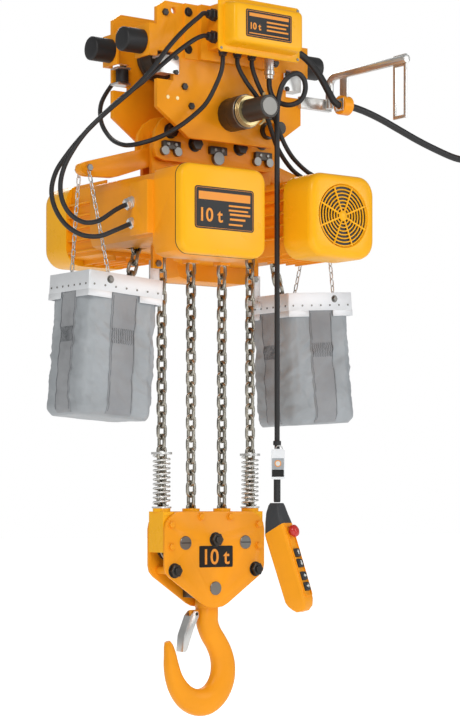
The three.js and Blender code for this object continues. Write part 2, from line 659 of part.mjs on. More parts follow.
function idleSheaves() {
  const core = IDLE_R - CHAIN_R - 1;
  const rim = IDLE_R + 8;
  for (const side of ['left', 'right']) {
    const sign = side === 'left' ? -1 : 1;
    add(`idle_sheave_${side}`, turnedY([
      [21, -26], [rim, -25], [rim, -19], [core, -18], [core, 18], [rim, 19], [rim, 25], [21, 26]],
    sign * IDLE_X, IDLE_Z), darkSteel);
  }
}

function crosshead() {
  const y = BLOCK_IN - GAP;
  const body = join([
    span(-64, 64, -y, y, -1606, -1548),
    rodY(0, TRUNNION_Z, -BLOCK_IN - BLOCK_T - 2, BLOCK_IN + BLOCK_T + 2, TRUNNION_R)]);
  add('hook_crosshead', body.subtract(rod([0, 0, -1620], [0, 0, -1530], 29, ROUND)), darkSteel);
}

function loadHook() {
  const bowl = { x: -43, z: -1815, r: 68 };
  const outer = { x: -25, z: -1830, r: 139 };
  const shape = new THREE.Shape();
  shape.moveTo(-33, -1648);
  shape.lineTo(-36, -1680);
  shape.bezierCurveTo(-30, -1720, 22, -1760, bowl.x + bowl.r, bowl.z + 6);
  shape.absarc(bowl.x, bowl.z, bowl.r, 0, -Math.PI * 0.86, true);
  shape.bezierCurveTo(-118, -1800, -128, -1762, -140, -1738);
  shape.bezierCurveTo(-146, -1727, -160, -1727, -163, -1740);
  shape.bezierCurveTo(-160, -1770, -158, -1790, -162, -1812);
  shape.absarc(outer.x, outer.z, outer.r, Math.PI * 0.96, 2 * Math.PI + 0.12, false);
  shape.bezierCurveTo(108, -1760, 42, -1720, 36, -1672);
  shape.lineTo(33, -1648);
  shape.closePath();
  const half = 27;
  const bevel = 10;
  const profile = new THREE.ExtrudeGeometry(shape, {
    depth: 2 * (half - bevel), bevelEnabled: true, bevelThickness: bevel, bevelSize: bevel,
    bevelOffset: -bevel, bevelSegments: 1, curveSegments: 6 });
  const body = solid(profile.rotateX(Math.PI / 2).translate(0, half - bevel, 0));
  const ear = span(-62, -28, -7, 7, -1672, -1640);
  const pin = rodY(LATCH_PIVOT.x, LATCH_PIVOT.z, -20, 20, 5, 10);
  add('hook', join([
    body, rod([0, 0, -1607], [0, 0, -1690], SHANK_R, ROUND),
    rod([0, 0, -1608], [0, 0, -1520], 28, ROUND), rod([0, 0, -1547.7], [0, 0, -1512], 36, 6),
    ear, pin]), orange);
}

function hookLatch() {
  const outline = [[-60, -1645], [-42, -1648], [-41, -1664], [-60, -1700], [-88, -1768],
    [-104, -1772], [-98, -1720], [-72, -1660]];
  const body = slab(outline, -18, 18, 6, 3);
  add('hook_latch', cut(body, [
    span(-90, -30, -8, 8, -1700, -1630),
    rodY(LATCH_PIVOT.x, LATCH_PIVOT.z, -30, 30, 5.6, 10)]), zinc);
}

// ---------- pendant control ----------
const PENDANT_FRONT = { from: [36, -58], to: [118, -300] };

function pendant() {
  const group = new THREE.Group();
  group.position.set(PENDANT.x, PENDANT.y, PENDANT.z);
  group.rotation.z = PENDANT.yaw;
  hoist.add(group);

  const from = new THREE.Vector2(...PENDANT_FRONT.from);
  const along = new THREE.Vector2(...PENDANT_FRONT.to).sub(from).normalize();
  const tilt = Math.atan2(along.x, -along.y);
  // Places a piece drawn at the origin, facing +X, at a distance down the front face.
  const onFace = (geometry, distance) => solid(geometry.rotateY(-tilt)
    .translate(from.x + along.x * distance, 0, from.y + along.y * distance));
  const outline = [[-24, 0], [20, 0], [33, -42], PENDANT_FRONT.from, PENDANT_FRONT.to,
    [106, -325], [72, -327], [44, -305], [-28, -98], [-26, -20]];
  let housing = slab(outline, -PENDANT_HALF, PENDANT_HALF, 7, 2);
  const button = (grow) => new THREE.BoxGeometry(18, 28 + grow, 24 + grow);
  const distances = [97, 130, 170, 203];
  for (const distance of distances) {
    housing = housing.subtract(onFace(button(0.8).translate(-6, 0, 0), distance));
  }
  const stem = (radius) => new THREE.CylinderGeometry(radius, radius, 34, 12)
    .rotateZ(Math.PI / 2).translate(-8, 0, 0);
  housing = housing.subtract(onFace(stem(9.6), 32));
  add('pendant_housing', housing, yellow, group);
  distances.forEach((distance, k) => {
    add(`pendant_button_${k + 1}`, onFace(button(0).translate(-1, 0, 0), distance), black, group);
  });
  const cap = new THREE.CylinderGeometry(19, 19, 14, SMALL_ROUND).rotateZ(Math.PI / 2).translate(14, 0, 0);
  add('pendant_stop_button', join([
    onFace(new THREE.CylinderGeometry(9, 9, 24, 12).rotateZ(Math.PI / 2).translate(-2, 0, 0), 32),
    onFace(cap, 32)]), red, group);
}

// ---------- cables ----------
const UPPER_JUMPER = [
  [-136.5, -190, 148], [-150, -190, 148], [-169, -192, 134], [-222, -196, 91], [-284, -202, 31], [-350, -203, -48],
  [-412, -193, -113], [-487, -175, -181], [-541, -150, -240], [-570, -125, -292], [-590, -108, -342],
  [-598, -100, -391], [-592, -100, -437], [-568, -105, -476], [-530, -118, -498], [-490, -132, -493],
  [-440, -144, -460], [-418, -147.7, -447.2], [-405.5, -149.8, -441.7]];
const LOWER_JUMPER = [
  [-136.5, -190, 82], [-150, -190, 81], [-177, -188, 69], [-231, -184, 31], [-298, -180, -24], [-359, -174, -78],
  [-438, -150, -146], [-523, -112, -239], [-565, -85, -300], [-592, -66, -352], [-602, -58, -406],
  [-592, -62, -457], [-562, -75, -505], [-522, -97, -532], [-478, -122, -535], [-436, -141, -517],
  [-404, -147.7, -502.2], [-391.5, -149.8, -496.7]];
const TROLLEY_CABLE = [
  [-79, -190, 29.5], [-79, -190, 16], [-84, -190, -15], [-103, -188, -60], [-134, -180, -117], [-175, -171, -158],
  [-223, -162, -195], [-281, -150, -229], [-325, -130, -247], [-350, -85, -252], [-352, -30, -238],
  [-338, 40, -205], [-318, 110, -150], [-280, 165, -80], [-215, 185, 0], [-150, 178, 68],
  [-103, 172, 80], [-89.5, 172, 80]];
const RIGHT_CABLES = [
  [[-24, -190, 29.5], [-24, -190, 16], [-18, -193, -5], [2, -200, -40], [36, -208, -82], [62, -212, -122],
    [84, -214, -172], [112, -208, -222], [154, -196, -262], [206, -180, -292], [270, -160, -308],
    [336, -130, -312], [392, -90, -335], [420, -40, -385], [430, 20, -430], [430, 80, -462],
    [426, 136, -456], [418, 147.7, -447.2], [405.5, 149.8, -441.7]],
  [[31, -190, 29.5], [31, -190, 16], [36, -194, -10], [48, -204, -50], [70, -214, -96], [98, -220, -150],
    [124, -222, -205], [160, -216, -246], [204, -204, -272], [256, -188, -291], [312, -168, -300],
    [366, -136, -314], [404, -92, -352], [422, -36, -412], [428, 30, -472], [424, 92, -512],
    [414, 134, -512], [404, 147.7, -502.2], [391.5, 149.8, -496.7]]];
const PENDANT_CABLE = [
  [98, -190, -19.5], [98, -190, -34], [99, -192, -50], [104, -200, -74], [120, -218, -94], [142, -240, -100],
  [162, -262, -88], [168, -278, -60], [158, -286, -30], [134, -288, -14], [108, -284, -20],
  [86, -274, -46], [76, -266, -84], [72, -262, -140], [72, -262, -240], [72, -262, -380],
  [72, -262, -520], [72, -262, -660], [72, -262, -800], [72, -262, -940], [72, -262, -1080],
  [72, -262, -1200], [72, -262, -1310.5]];
const SUPPLY_CABLE = [
  [190.5, -190, 75], [205, -190, 75], [226, -190, 70], [258, -194, 48], [290, -202, 10], [316, -213, -38],
  [332, -220, -66], [346, -222, -74], [369, -222, -74], [392, -222, -74], [448, -222, -82], [520, -222, -100],
  [600, -222, -126], [680, -222, -152], [760, -222, -174], [830, -222, -190], [866, -222, -194], [884.5, -222, -194]];

function cables() {
  add('jumper_cable_upper', cord(UPPER_JUMPER, JUMPER_R, 22), black);
  add('jumper_cable_lower', cord(LOWER_JUMPER, JUMPER_R, 22), black);
  add('trolley_motor_cable', cord(TROLLEY_CABLE, JUMPER_R, 20), black);
  RIGHT_CABLES.forEach((route, k) => {
    add(`right_hoist_cable_${k + 1}`, cord(route, JUMPER_R, 22), black);
  });
  add('pendant_cable', cord(PENDANT_CABLE, PENDANT_CABLE_R, 34), black);
  add('supply_cable', cord(SUPPLY_CABLE, SUPPLY_R, 26), black);
  const end = 885;
  add('festoon_carrier', join([
    span(end, end + 46, -240, -204, -214, -174),
    span(end + 20, end + 26, -238, -206, -176, -70),
    span(end + 8, end + 38, -232, -212, -74, -44)]), orange);
  const tag = span(44, 60, -274, -271, -1245, -1150);
  add('instruction_tag', tag.add(span(44, 78, -274, -271, -1245, -1150)), white);
}

trolley();
panel();
towArm();
frame();
hoistUnit('left');
hoistUnit('right');
blockPlates();
fallGuide();
idleSheaves();
crosshead();
loadHook();
hookLatch();
pendant();
cables();

export default hoist;
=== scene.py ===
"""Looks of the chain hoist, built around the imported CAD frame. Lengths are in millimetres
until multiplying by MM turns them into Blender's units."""

import json
import math

import bmesh
import bpy
from mathutils import Matrix, Vector, noise


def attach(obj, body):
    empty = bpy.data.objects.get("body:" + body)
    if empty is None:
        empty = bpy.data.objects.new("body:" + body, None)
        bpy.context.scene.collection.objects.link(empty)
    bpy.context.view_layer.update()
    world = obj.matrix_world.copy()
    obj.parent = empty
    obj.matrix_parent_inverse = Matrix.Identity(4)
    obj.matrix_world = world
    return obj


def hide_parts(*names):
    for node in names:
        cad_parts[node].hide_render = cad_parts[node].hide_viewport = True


MM = 0.001
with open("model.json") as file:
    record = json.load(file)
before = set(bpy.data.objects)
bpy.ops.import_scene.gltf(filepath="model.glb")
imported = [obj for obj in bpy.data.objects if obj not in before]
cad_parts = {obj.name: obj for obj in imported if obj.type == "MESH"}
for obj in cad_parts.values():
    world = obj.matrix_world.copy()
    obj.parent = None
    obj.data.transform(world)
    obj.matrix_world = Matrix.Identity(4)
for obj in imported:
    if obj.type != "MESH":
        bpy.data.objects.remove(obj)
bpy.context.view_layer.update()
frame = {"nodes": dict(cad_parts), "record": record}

SLOT_OF = {s["node"]: s["material_slot"] for s in frame["record"]["subparts"]}
BODY_OF = {n: b for b, ns in frame["record"]["behaviour"]["bodies"].items() for n in ns}


# ---------------------------------------------------------------- materials
def surface(name, color, rough, metal=0.0, grain=900.0, bump=0.05, spread=0.06, coat=0.0,
            rough_spread=0.12, sheen=0.0):
    """A procedural finish: uneven colour, uneven roughness and a fine bump."""
    mat = bpy.data.materials.new(name)
    mat.use_nodes = True
    nodes, links = mat.node_tree.nodes, mat.node_tree.links
    shader = nodes["Principled BSDF"]
    shader.inputs["Metallic"].default_value = metal
    shader.inputs["Coat Weight"].default_value = coat
    shader.inputs["Coat Roughness"].default_value = 0.12
    shader.inputs["Sheen Weight"].default_value = sheen
    place = nodes.new("ShaderNodeTexCoord")
    broad = nodes.new("ShaderNodeTexNoise")
    broad.inputs["Scale"].default_value = 9.0
    broad.inputs["Detail"].default_value = 6.0
    links.new(place.outputs["Object"], broad.inputs["Vector"])
    ramp = nodes.new("ShaderNodeValToRGB")
    ramp.color_ramp.elements[0].position = 0.3
    ramp.color_ramp.elements[1].position = 0.7
    ramp.color_ramp.elements[0].color = [c * (1 - spread) for c in color] + [1]
    ramp.color_ramp.elements[1].color = [min(1, c * (1 + spread)) for c in color] + [1]
    links.new(broad.outputs["Fac"], ramp.inputs["Fac"])
    links.new(ramp.outputs["Color"], shader.inputs["Base Color"])
    fine = nodes.new("ShaderNodeTexNoise")
    fine.inputs["Scale"].default_value = grain
    fine.inputs["Detail"].default_value = 3.0
    links.new(place.outputs["Object"], fine.inputs["Vector"])
    span = nodes.new("ShaderNodeMapRange")
    span.inputs["To Min"].default_value = max(0.03, rough - rough_spread)
    span.inputs["To Max"].default_value = min(1.0, rough + rough_spread)
    links.new(broad.outputs["Fac"], span.inputs["Value"])
    links.new(span.outputs["Result"], shader.inputs["Roughness"])
    lift = nodes.new("ShaderNodeBump")
    lift.inputs["Strength"].default_value = bump
    lift.inputs["Distance"].default_value = 0.0006
    links.new(fine.outputs["Fac"], lift.inputs["Height"])
    links.new(lift.outputs["Normal"], shader.inputs["Normal"])
    return mat


def woven(name, color, threads, strength, rough=0.75, sheen=0.1):
    """Cloth: two crossed sets of threads over soft colour unevenness."""
    mat = surface(name, color, rough, grain=60, bump=0.35, spread=0.12, sheen=sheen)
    nodes, links = mat.node_tree.nodes, mat.node_tree.links
    place = nodes.new("ShaderNodeTexCoord")
    total = None
    for direction in ("X", "Y", "Z"):
        wave = nodes.new("ShaderNodeTexWave")
        wave.bands_direction = direction
        wave.inputs["Scale"].default_value = threads
        wave.inputs["Distortion"].default_value = 0.6
        links.new(place.outputs["Object"], wave.inputs["Vector"])
        if total is None:
            total = wave.outputs["Fac"]
            continue
        both = nodes.new("ShaderNodeMath")
        both.operation = "ADD"
        links.new(total, both.inputs[0])
        links.new(wave.outputs["Fac"], both.inputs[1])
        total = both.outputs[0]
    lift = nodes.new("ShaderNodeBump")
    lift.inputs["Strength"].default_value = strength
    lift.inputs["Distance"].default_value = 0.0008
    links.new(total, lift.inputs["Height"])
    first = next(n for n in nodes if n.type == "BUMP" and n != lift)
    links.new(first.outputs["Normal"], lift.inputs["Normal"])
    links.new(lift.outputs["Normal"], nodes["Principled BSDF"].inputs["Normal"])
    return mat


ORANGE = (0.93, 0.345, 0.008)
MAT = {
    "orange_paint": surface("orange_paint", ORANGE, 0.38, bump=0.06, spread=0.05),
    "yellow_paint": surface("yellow_paint", (0.98, 0.465, 0.008), 0.3, bump=0.04, spread=0.03),
    "zinc": surface("zinc", (0.72, 0.72, 0.70), 0.34, 0.9, grain=500, bump=0.1, spread=0.12),
    "dark_steel": surface("dark_steel", (0.075, 0.068, 0.058), 0.42, 0.7, bump=0.1, spread=0.3),
    "chain": surface("chain", (0.36, 0.34, 0.29), 0.3, 0.95, grain=400, bump=0.12, spread=0.22),
    "black_rubber": surface("black_rubber", (0.012, 0.012, 0.013), 0.5, bump=0.1, spread=0.2),
    "black_plastic": surface("black_plastic", (0.018, 0.018, 0.02), 0.45, bump=0.12, spread=0.2),
    "bag_fabric": woven("bag_fabric", (0.35, 0.375, 0.395), 420, 0.12, 0.42, 0.0),
    "white_aluminium": surface("white_aluminium", (0.78, 0.8, 0.82), 0.42, 0.35, bump=0.08,
                               spread=0.05),
    "pendant_yellow": surface("pendant_yellow", (0.95, 0.36, 0.008), 0.38, bump=0.25, spread=0.04),
    "red_plastic": surface("red_plastic", (0.55, 0.018, 0.012), 0.3, spread=0.05, coat=0.3),
}
EXTRA = {
    "webbing": woven("webbing", (0.31, 0.32, 0.335), 260, 0.35, 0.8, 0.1),
    "stitch": surface("stitch", (0.12, 0.13, 0.14), 0.8, bump=0.3),
    "bolt": surface("bolt", (0.045, 0.042, 0.038), 0.38, 0.6, bump=0.12, spread=0.3),
    "pin_face": surface("pin_face", (0.2, 0.195, 0.18), 0.36, 0.85, grain=300, spread=0.2),
    "copper_zinc": surface("copper_zinc", (0.62, 0.5, 0.25), 0.35, 0.8, spread=0.15),
    "print_pale": surface("print_pale", (0.72, 0.72, 0.68), 0.5, spread=0.03),
    "print_orange": surface("print_orange", (0.85, 0.3, 0.02), 0.45, spread=0.03),
    "print_black": surface("print_black", (0.012, 0.012, 0.012), 0.35, spread=0.1),
    "dark_grey": surface("dark_grey", (0.035, 0.038, 0.042), 0.5, bump=0.3, spread=0.15),
}
PAINT_SPECULAR, PAINT_COAT = 0.22, 0.05
for dull in (MAT["orange_paint"], MAT["yellow_paint"], MAT["pendant_yellow"], EXTRA["print_black"]):
    paint = dull.node_tree.nodes["Principled BSDF"]
    paint.inputs["Specular IOR Level"].default_value = PAINT_SPECULAR
    paint.inputs["Coat Weight"].default_value = PAINT_COAT


# ---------------------------------------------------------------- mesh helpers
def finish_piece(name, mesh, material, body, replaced=(), smooth=38):
    piece = bpy.data.objects.new(name, mesh)
    bpy.context.scene.collection.objects.link(piece)
    mesh.materials.clear()
    mesh.materials.append(material)
    mesh.shade_smooth()
    if smooth < 180:
        mesh.set_sharp_from_angle(angle=math.radians(smooth))
    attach(piece, body)
    if replaced:
        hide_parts(*replaced)
    return piece


def bevelled(mesh, width, segments=2, limit=40):
    """The mesh with its hard edges rounded."""
    holder = bpy.data.objects.new("holder", mesh)
    bpy.context.scene.collection.objects.link(holder)
    mod = holder.modifiers.new("bevel", "BEVEL")
    mod.width = width * MM
    mod.segments = segments
    mod.limit_method = "ANGLE"
    mod.angle_limit = math.radians(limit)
    dg = bpy.context.evaluated_depsgraph_get()
    result = bpy.data.meshes.new_from_object(holder.evaluated_get(dg))
    bpy.data.objects.remove(holder)
    return result


def soften(node, width=1.4):
    """A copy of a CAD node with rounded edges, which is shown in its place."""
    build = bmesh.new()
    build.from_mesh(frame["nodes"][node].data)
    bmesh.ops.remove_doubles(build, verts=build.verts, dist=2e-5)
    bmesh.ops.dissolve_limit(build, angle_limit=math.radians(0.6), verts=build.verts,
                             edges=build.edges)
    mesh = bpy.data.meshes.new(node + "_finish")
    build.to_mesh(mesh)
    build.free()
    slot = SLOT_OF[node]
    return finish_piece(node + "_finish", bevelled(mesh, width), MAT[slot], BODY_OF[node],
                        [node])


class Solid:
    """Collects simple closed shapes into one mesh."""

    def __init__(self):
        self.build = bmesh.new()

    def rings(self, rings, close=False):
        """Skins rings of points, each with as many points, and caps the ends."""
        rows = [[self.build.verts.new(Vector(p) * MM) for p in ring] for ring in rings]
        count = len(rows[0])
        pairs = list(zip(rows, rows[1:])) + ([(rows[-1], rows[0])] if close else [])
        for low, high in pairs:
            for k in range(count):
                n = (k + 1) % count
                self.build.faces.new([low[k], low[n], high[n], high[k]])
        if not close:
            self.build.faces.new(rows[0][::-1])
            self.build.faces.new(rows[-1])
        return self

    def turn(self, profile, centre, axis=(0, 1, 0), sides=32, phase=0.0):
        """Turns (radius, height) points about an axis through centre."""
        spin = Vector((0, 0, 1)).rotation_difference(Vector(axis))
        rows = []
        for radius, height in profile:
            row = []
            for k in range(sides):
                a = 2 * math.pi * k / sides + phase
                p = Vector((radius * math.cos(a), radius * math.sin(a), height))
                row.append(spin @ p + Vector(centre))
            rows.append(row)
        return self.rings(rows)

    def disc(self, centre, radius, length, axis=(0, 1, 0), sides=32, edge=1.5, phase=0.0):
        r, e = radius, min(edge, length / 3, radius / 3)
        return self.turn([(r - e, 0), (r, e), (r, length - e), (r - e, length)], centre, axis,
                         sides, phase)

    def box(self, low, high):
        (a, b, c), (d, e, f) = low, high
        return self.rings([[(a, b, c), (d, b, c), (d, e, c), (a, e, c)],
                           [(a, b, f), (d, b, f), (d, e, f), (a, e, f)]])

    def plate(self, outline, y0, y1):
        return self.rings([[(x, y0, z) for x, z in outline], [(x, y1, z) for x, z in outline]])

    def tube(self, points, radius, sides=10, close=False):
        return self.rings(tube_rings(points, radius, sides, close), close)

    def piece(self, name, material, body, slot, replaced=(), bevel=0, smooth=38, half_turn=False):
        bmesh.ops.recalc_face_normals(self.build, faces=self.build.faces)
        mesh = bpy.data.meshes.new(name)
        self.build.to_mesh(mesh)
        self.build.free()
        if half_turn:
            mesh.transform(Matrix.Rotation(math.pi, 4, "Z"))
        if bevel:
            mesh = bevelled(mesh, bevel)
        return finish_piece(name, mesh, material, body, replaced, smooth)


def tube_rings(points, radius, sides, close=False):
    """Rings round a path, carried along it without twisting."""
    points = [Vector(p) for p in points]
    count = len(points)
    rings, normal = [], None
    for k, p in enumerate(points):
        before = points[k - 1] if k or close else p
        after = points[(k + 1) % count] if k < count - 1 or close else p
        along = (after - before).normalized()
        if normal is None:
            normal = along.orthogonal()
        normal = (normal - along * normal.dot(along)).normalized()
        other = along.cross(normal)
        rings.append([p + radius * (math.cos(a) * normal + math.sin(a) * other)
                      for a in (2 * math.pi * j / sides for j in range(sides))])
    return rings


def smooth_path(points, per_stretch=6):
    """A centripetal Catmull-Rom curve through the points."""
    pts = [Vector(p) for p in points]
    pts = [2 * pts[0] - pts[1]] + pts + [2 * pts[-1] - pts[-2]]
    result = []
    for a, b, c, d in zip(pts, pts[1:], pts[2:], pts[3:]):
        t = [0.0]
        for p, q in ((a, b), (b, c), (c, d)):
            t.append(t[-1] + max((q - p).length, 1e-6) ** 0.5)
        for k in range(per_stretch):
            s = t[1] + (t[2] - t[1]) * k / per_stretch
            p1 = a.lerp(b, (s - t[0]) / (t[1] - t[0]))
            p2 = b.lerp(c, (s - t[1]) / (t[2] - t[1]))
            p3 = c.lerp(d, (s - t[2]) / (t[3] - t[2]))
            q1 = p1.lerp(p2, (s - t[0]) / (t[2] - t[0]))
            q2 = p2.lerp(p3, (s - t[1]) / (t[3] - t[1]))
            result.append(q1.lerp(q2, (s - t[1]) / (t[2] - t[1])))
    return result + [pts[-2]]


def rounded(x0, x1, z0, z1, r, steps=6):
    """Outline of a rectangle with round corners."""
    out = []
    for cx, cz, start in ((x1 - r, z0 + r, -90), (x1 - r, z1 - r, 0), (x0 + r, z1 - r, 90),
                          (x0 + r, z0 + r, 180)):
        for k in range(steps + 1):
            a = math.radians(start + 90 * k / steps)
            out.append((cx + r * math.cos(a), cz + r * math.sin(a)))
    return out


def with_straights(outline, parts):
    """The same closed outline, with its long straights divided."""
    out = []
    for k, (x, z) in enumerate(outline):
        ex, ez = outline[(k + 1) % len(outline)]
        n = parts if math.hypot(ex - x, ez - z) > 40 else 1
        out += [(x + (ex - x) * i / n, z + (ez - z) * i / n) for i in range(n)]
    return out


# ---------------------------------------------------------------- camera, light, floor
FLOOR_Z = -2.3
LIGHTS_AIM = Vector((0, 0, -0.8))


def seen_or_lit(tree, lit, seen, socket):
    """Feeds socket one value where the camera looks and another for the light it sheds."""
    rays = tree.nodes.new("ShaderNodeLightPath")
    level = tree.nodes.new("ShaderNodeMapRange")
    level.inputs["To Min"].default_value = lit
    level.inputs["To Max"].default_value = seen
    tree.links.new(rays.outputs["Is Camera Ray"], level.inputs["Value"])
    tree.links.new(level.outputs["Result"], socket)


def place_camera():
    data = bpy.data.cameras.new("camera")
    data.lens = 105.65
    data.sensor_width = 36
    data.shift_y = 140 / 720
    data.clip_end = 60
    camera = bpy.data.objects.new("camera", data)
    camera.location = (-3.8835, -5.2747, -1.305)
    camera.rotation_euler = (math.radians(90), 0, math.radians(-37))
    bpy.context.scene.collection.objects.link(camera)
    bpy.context.scene.camera = camera


def place_lights():
    for name, place, size, power, color in (
            ("key", (-3.6, -3.2, 2.2), 2.0, 92, (1, 0.98, 0.95)),
            ("fill", (3.0, -4.2, 0.4), 2.4, 55, (0.97, 0.98, 1)),
            ("rim", (1.5, 4.0, 2.6), 2.5, 90, (1, 1, 1)),
            ("under", (-1.2, -3.4, -1.6), 1.6, 16, (1, 1, 1))):
        light = bpy.data.lights.new(name, "AREA")
        light.size = size
        light.energy = power
        light.color = color
        lamp = bpy.data.objects.new(name, light)
        lamp.location = place
        aim = LIGHTS_AIM - Vector(place)
        lamp.rotation_euler = aim.to_track_quat("-Z", "Y").to_euler()
        bpy.context.scene.collection.objects.link(lamp)
    world = bpy.data.worlds.new("studio")
    world.use_nodes = True
    back = world.node_tree.nodes["Background"]
    back.inputs["Color"].default_value = (1, 1, 1, 1)
    seen_or_lit(world.node_tree, 0.34, 1.0, back.inputs["Strength"])
    bpy.context.scene.world = world
    bpy.context.scene.view_settings.view_transform = "Standard"


def place_floor():
    mesh = bpy.data.meshes.new("floor")
    build = bmesh.new()
    bmesh.ops.create_grid(build, x_segments=2, y_segments=2, size=40)
    build.to_mesh(mesh)
    build.free()
    floor = bpy.data.objects.new("floor", mesh)
    floor.location = (0, 0, FLOOR_Z)
    ground = surface("floor", (0.9, 0.9, 0.9), 0.8, bump=0.02, spread=0.01)
    shader = ground.node_tree.nodes["Principled BSDF"]
    shader.inputs["Emission Color"].default_value = (1, 1, 1, 1)
    seen_or_lit(ground.node_tree, 0.4, 0.85, shader.inputs["Emission Strength"])
    mesh.materials.append(ground)
    bpy.context.scene.collection.objects.link(floor)


# ---------------------------------------------------------------- free cables
UPPER_JUMPER = [
    (-136.5, -190, 148), (-150, -190, 148), (-169, -192, 134), (-222, -196, 91),
    (-284, -202, 31), (-350, -203, -48), (-412, -193, -113), (-487, -175, -181),
    (-541, -150, -240), (-570, -125, -292), (-590, -108, -342), (-598, -100, -391),
    (-592, -100, -437), (-568, -105, -476), (-530, -118, -498), (-490, -132, -493),
    (-440, -144, -460), (-418, -147.7, -447.2), (-405.5, -149.8, -441.7)]
LOWER_JUMPER = [
    (-136.5, -190, 82), (-150, -190, 81), (-177, -188, 69), (-231, -184, 31), (-298, -180, -24),
    (-359, -174, -78), (-438, -150, -146), (-523, -112, -239), (-565, -85, -300),
    (-592, -66, -352), (-602, -58, -406), (-592, -62, -457), (-562, -75, -505),
    (-522, -97, -532), (-478, -122, -535), (-436, -141, -517), (-404, -147.7, -502.2),
    (-391.5, -149.8, -496.7)]
TROLLEY_CABLE = [
    (-79, -190, 29.5), (-79, -190, 16), (-84, -190, -15), (-103, -188, -60), (-134, -180, -117),
    (-175, -171, -158), (-223, -162, -195), (-281, -150, -229), (-325, -130, -247),
    (-350, -85, -252), (-352, -30, -238), (-338, 40, -205), (-318, 110, -150), (-280, 165, -80),
    (-215, 185, 0), (-150, 178, 68), (-103, 172, 80), (-89.5, 172, 80)]
RIGHT_UPPER = [
    (-24, -190, 29.5), (-24, -190, 16), (-18, -193, -5), (2, -200, -40), (36, -208, -82),
    (62, -212, -122), (84, -214, -172), (112, -208, -222), (154, -196, -262), (206, -180, -292),
    (270, -160, -308), (336, -130, -312), (392, -90, -335), (420, -40, -385), (430, 20, -430),
    (430, 80, -462), (426, 136, -456), (418, 147.7, -447.2), (405.5, 149.8, -441.7)]
RIGHT_LOWER = [
    (31, -190, 29.5), (31, -190, 16), (36, -194, -10), (48, -204, -50), (70, -214, -96),
    (98, -220, -150), (124, -222, -205), (160, -216, -246), (204, -204, -272),
    (256, -188, -291), (312, -168, -300), (366, -136, -314), (404, -92, -352),
    (422, -36, -412), (428, 30, -472), (424, 92, -512), (414, 134, -512), (404, 147.7, -502.2),
    (391.5, 149.8, -496.7)]
PENDANT_CABLE = [
    (98, -190, -19.5), (98, -190, -34), (99, -192, -50), (104, -200, -74), (120, -218, -94),
    (142, -240, -100), (162, -262, -88), (168, -278, -60), (158, -286, -30), (134, -288, -14),
    (108, -284, -20), (86, -274, -46), (76, -266, -84), (72, -262, -140), (72, -262, -240),
    (72, -262, -380), (72, -262, -520), (72, -262, -660), (72, -262, -800), (72, -262, -940),
    (72, -262, -1080), (72, -262, -1200), (72, -262, -1310.5)]
SUPPLY_CABLE = [
    (190.5, -190, 75), (205, -190, 75), (226, -190, 70), (258, -194, 48), (290, -202, 10),
    (316, -213, -38), (332, -220, -66), (346, -222, -74), (369, -222, -74), (392, -222, -74),
    (448, -222, -82), (520, -222, -100), (600, -222, -126), (680, -222, -152),
    (760, -222, -174), (830, -222, -190), (866, -222, -194), (884.5, -222, -194)]


def cable(node, route, radius, with_pieces=()):
    path = smooth_path(route)
    build = Solid().tube(path, radius, 12)
    piece = build.piece(node + "_sheath", MAT["black_rubber"], "trolley", "black_rubber", [node],
                        smooth=60)


def cables():
    for node, route in (("jumper_cable_upper", UPPER_JUMPER), ("jumper_cable_lower", LOWER_JUMPER),
                        ("trolley_motor_cable", TROLLEY_CABLE),
                        ("right_hoist_cable_1", RIGHT_UPPER), ("right_hoist_cable_2", RIGHT_LOWER)):
        cable(node, route, 7)
    cable("pendant_cable", PENDANT_CABLE, 8, with_pieces=instruction_tag())
    cable("supply_cable", SUPPLY_CABLE, 11)


def instruction_tag():
    yaw = math.radians(-37)
    across = Vector((math.cos(yaw), math.sin(yaw), 0))
    toward = Vector((math.sin(yaw), -math.cos(yaw), 0))
    centre = Vector((66, -273.5, -1197))

    def panel(name, material, x0, x1, z0, z1, rise, corner):
        low = [centre + across * u + toward * rise + Vector((0, 0, v))
               for u, v in rounded(x0, x1, z0, z1, corner, 3)]
        build = Solid().rings([low, [p + toward * 0.5 for p in low]])
        return build.piece(name, material, "trolley", "white_aluminium")

    card = panel("tag_card", MAT["white_aluminium"], -21, 21, -46, 46, 0, 6)
    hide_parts("instruction_tag")
    return [card,
            panel("tag_block_dark", EXTRA["print_black"], -18, 18, -38, -16, 0.6, 1),
            panel("tag_block_grey", MAT["bag_fabric"], -18, 18, -15, 18, 0.6, 1),
            panel("tag_dot", EXTRA["print_orange"], -10, 10, -8, 12, 1.2, 9),
            panel("tag_dot_centre", EXTRA["print_pale"], -7, 7, -5, 9, 1.8, 6)]


# ---------------------------------------------------------------- load chains
LINK_PITCH = 34
SPLIT_Z = -960


def link_rings(centre, along, side, wire=5.5, bend=13.2, half=9.2, steps=7, sides=8):
    """Rings round one oval link, whose long way is along and whose width is side."""
    points = []
    for sign in (1, -1):
        for k in range(steps + 1):
            a = math.pi * k / steps
            points.append(centre + along * (sign * (half + bend * math.sin(a)))
                          + side * (sign * bend * math.cos(a)))
    return tube_rings(points, wire, sides, True)


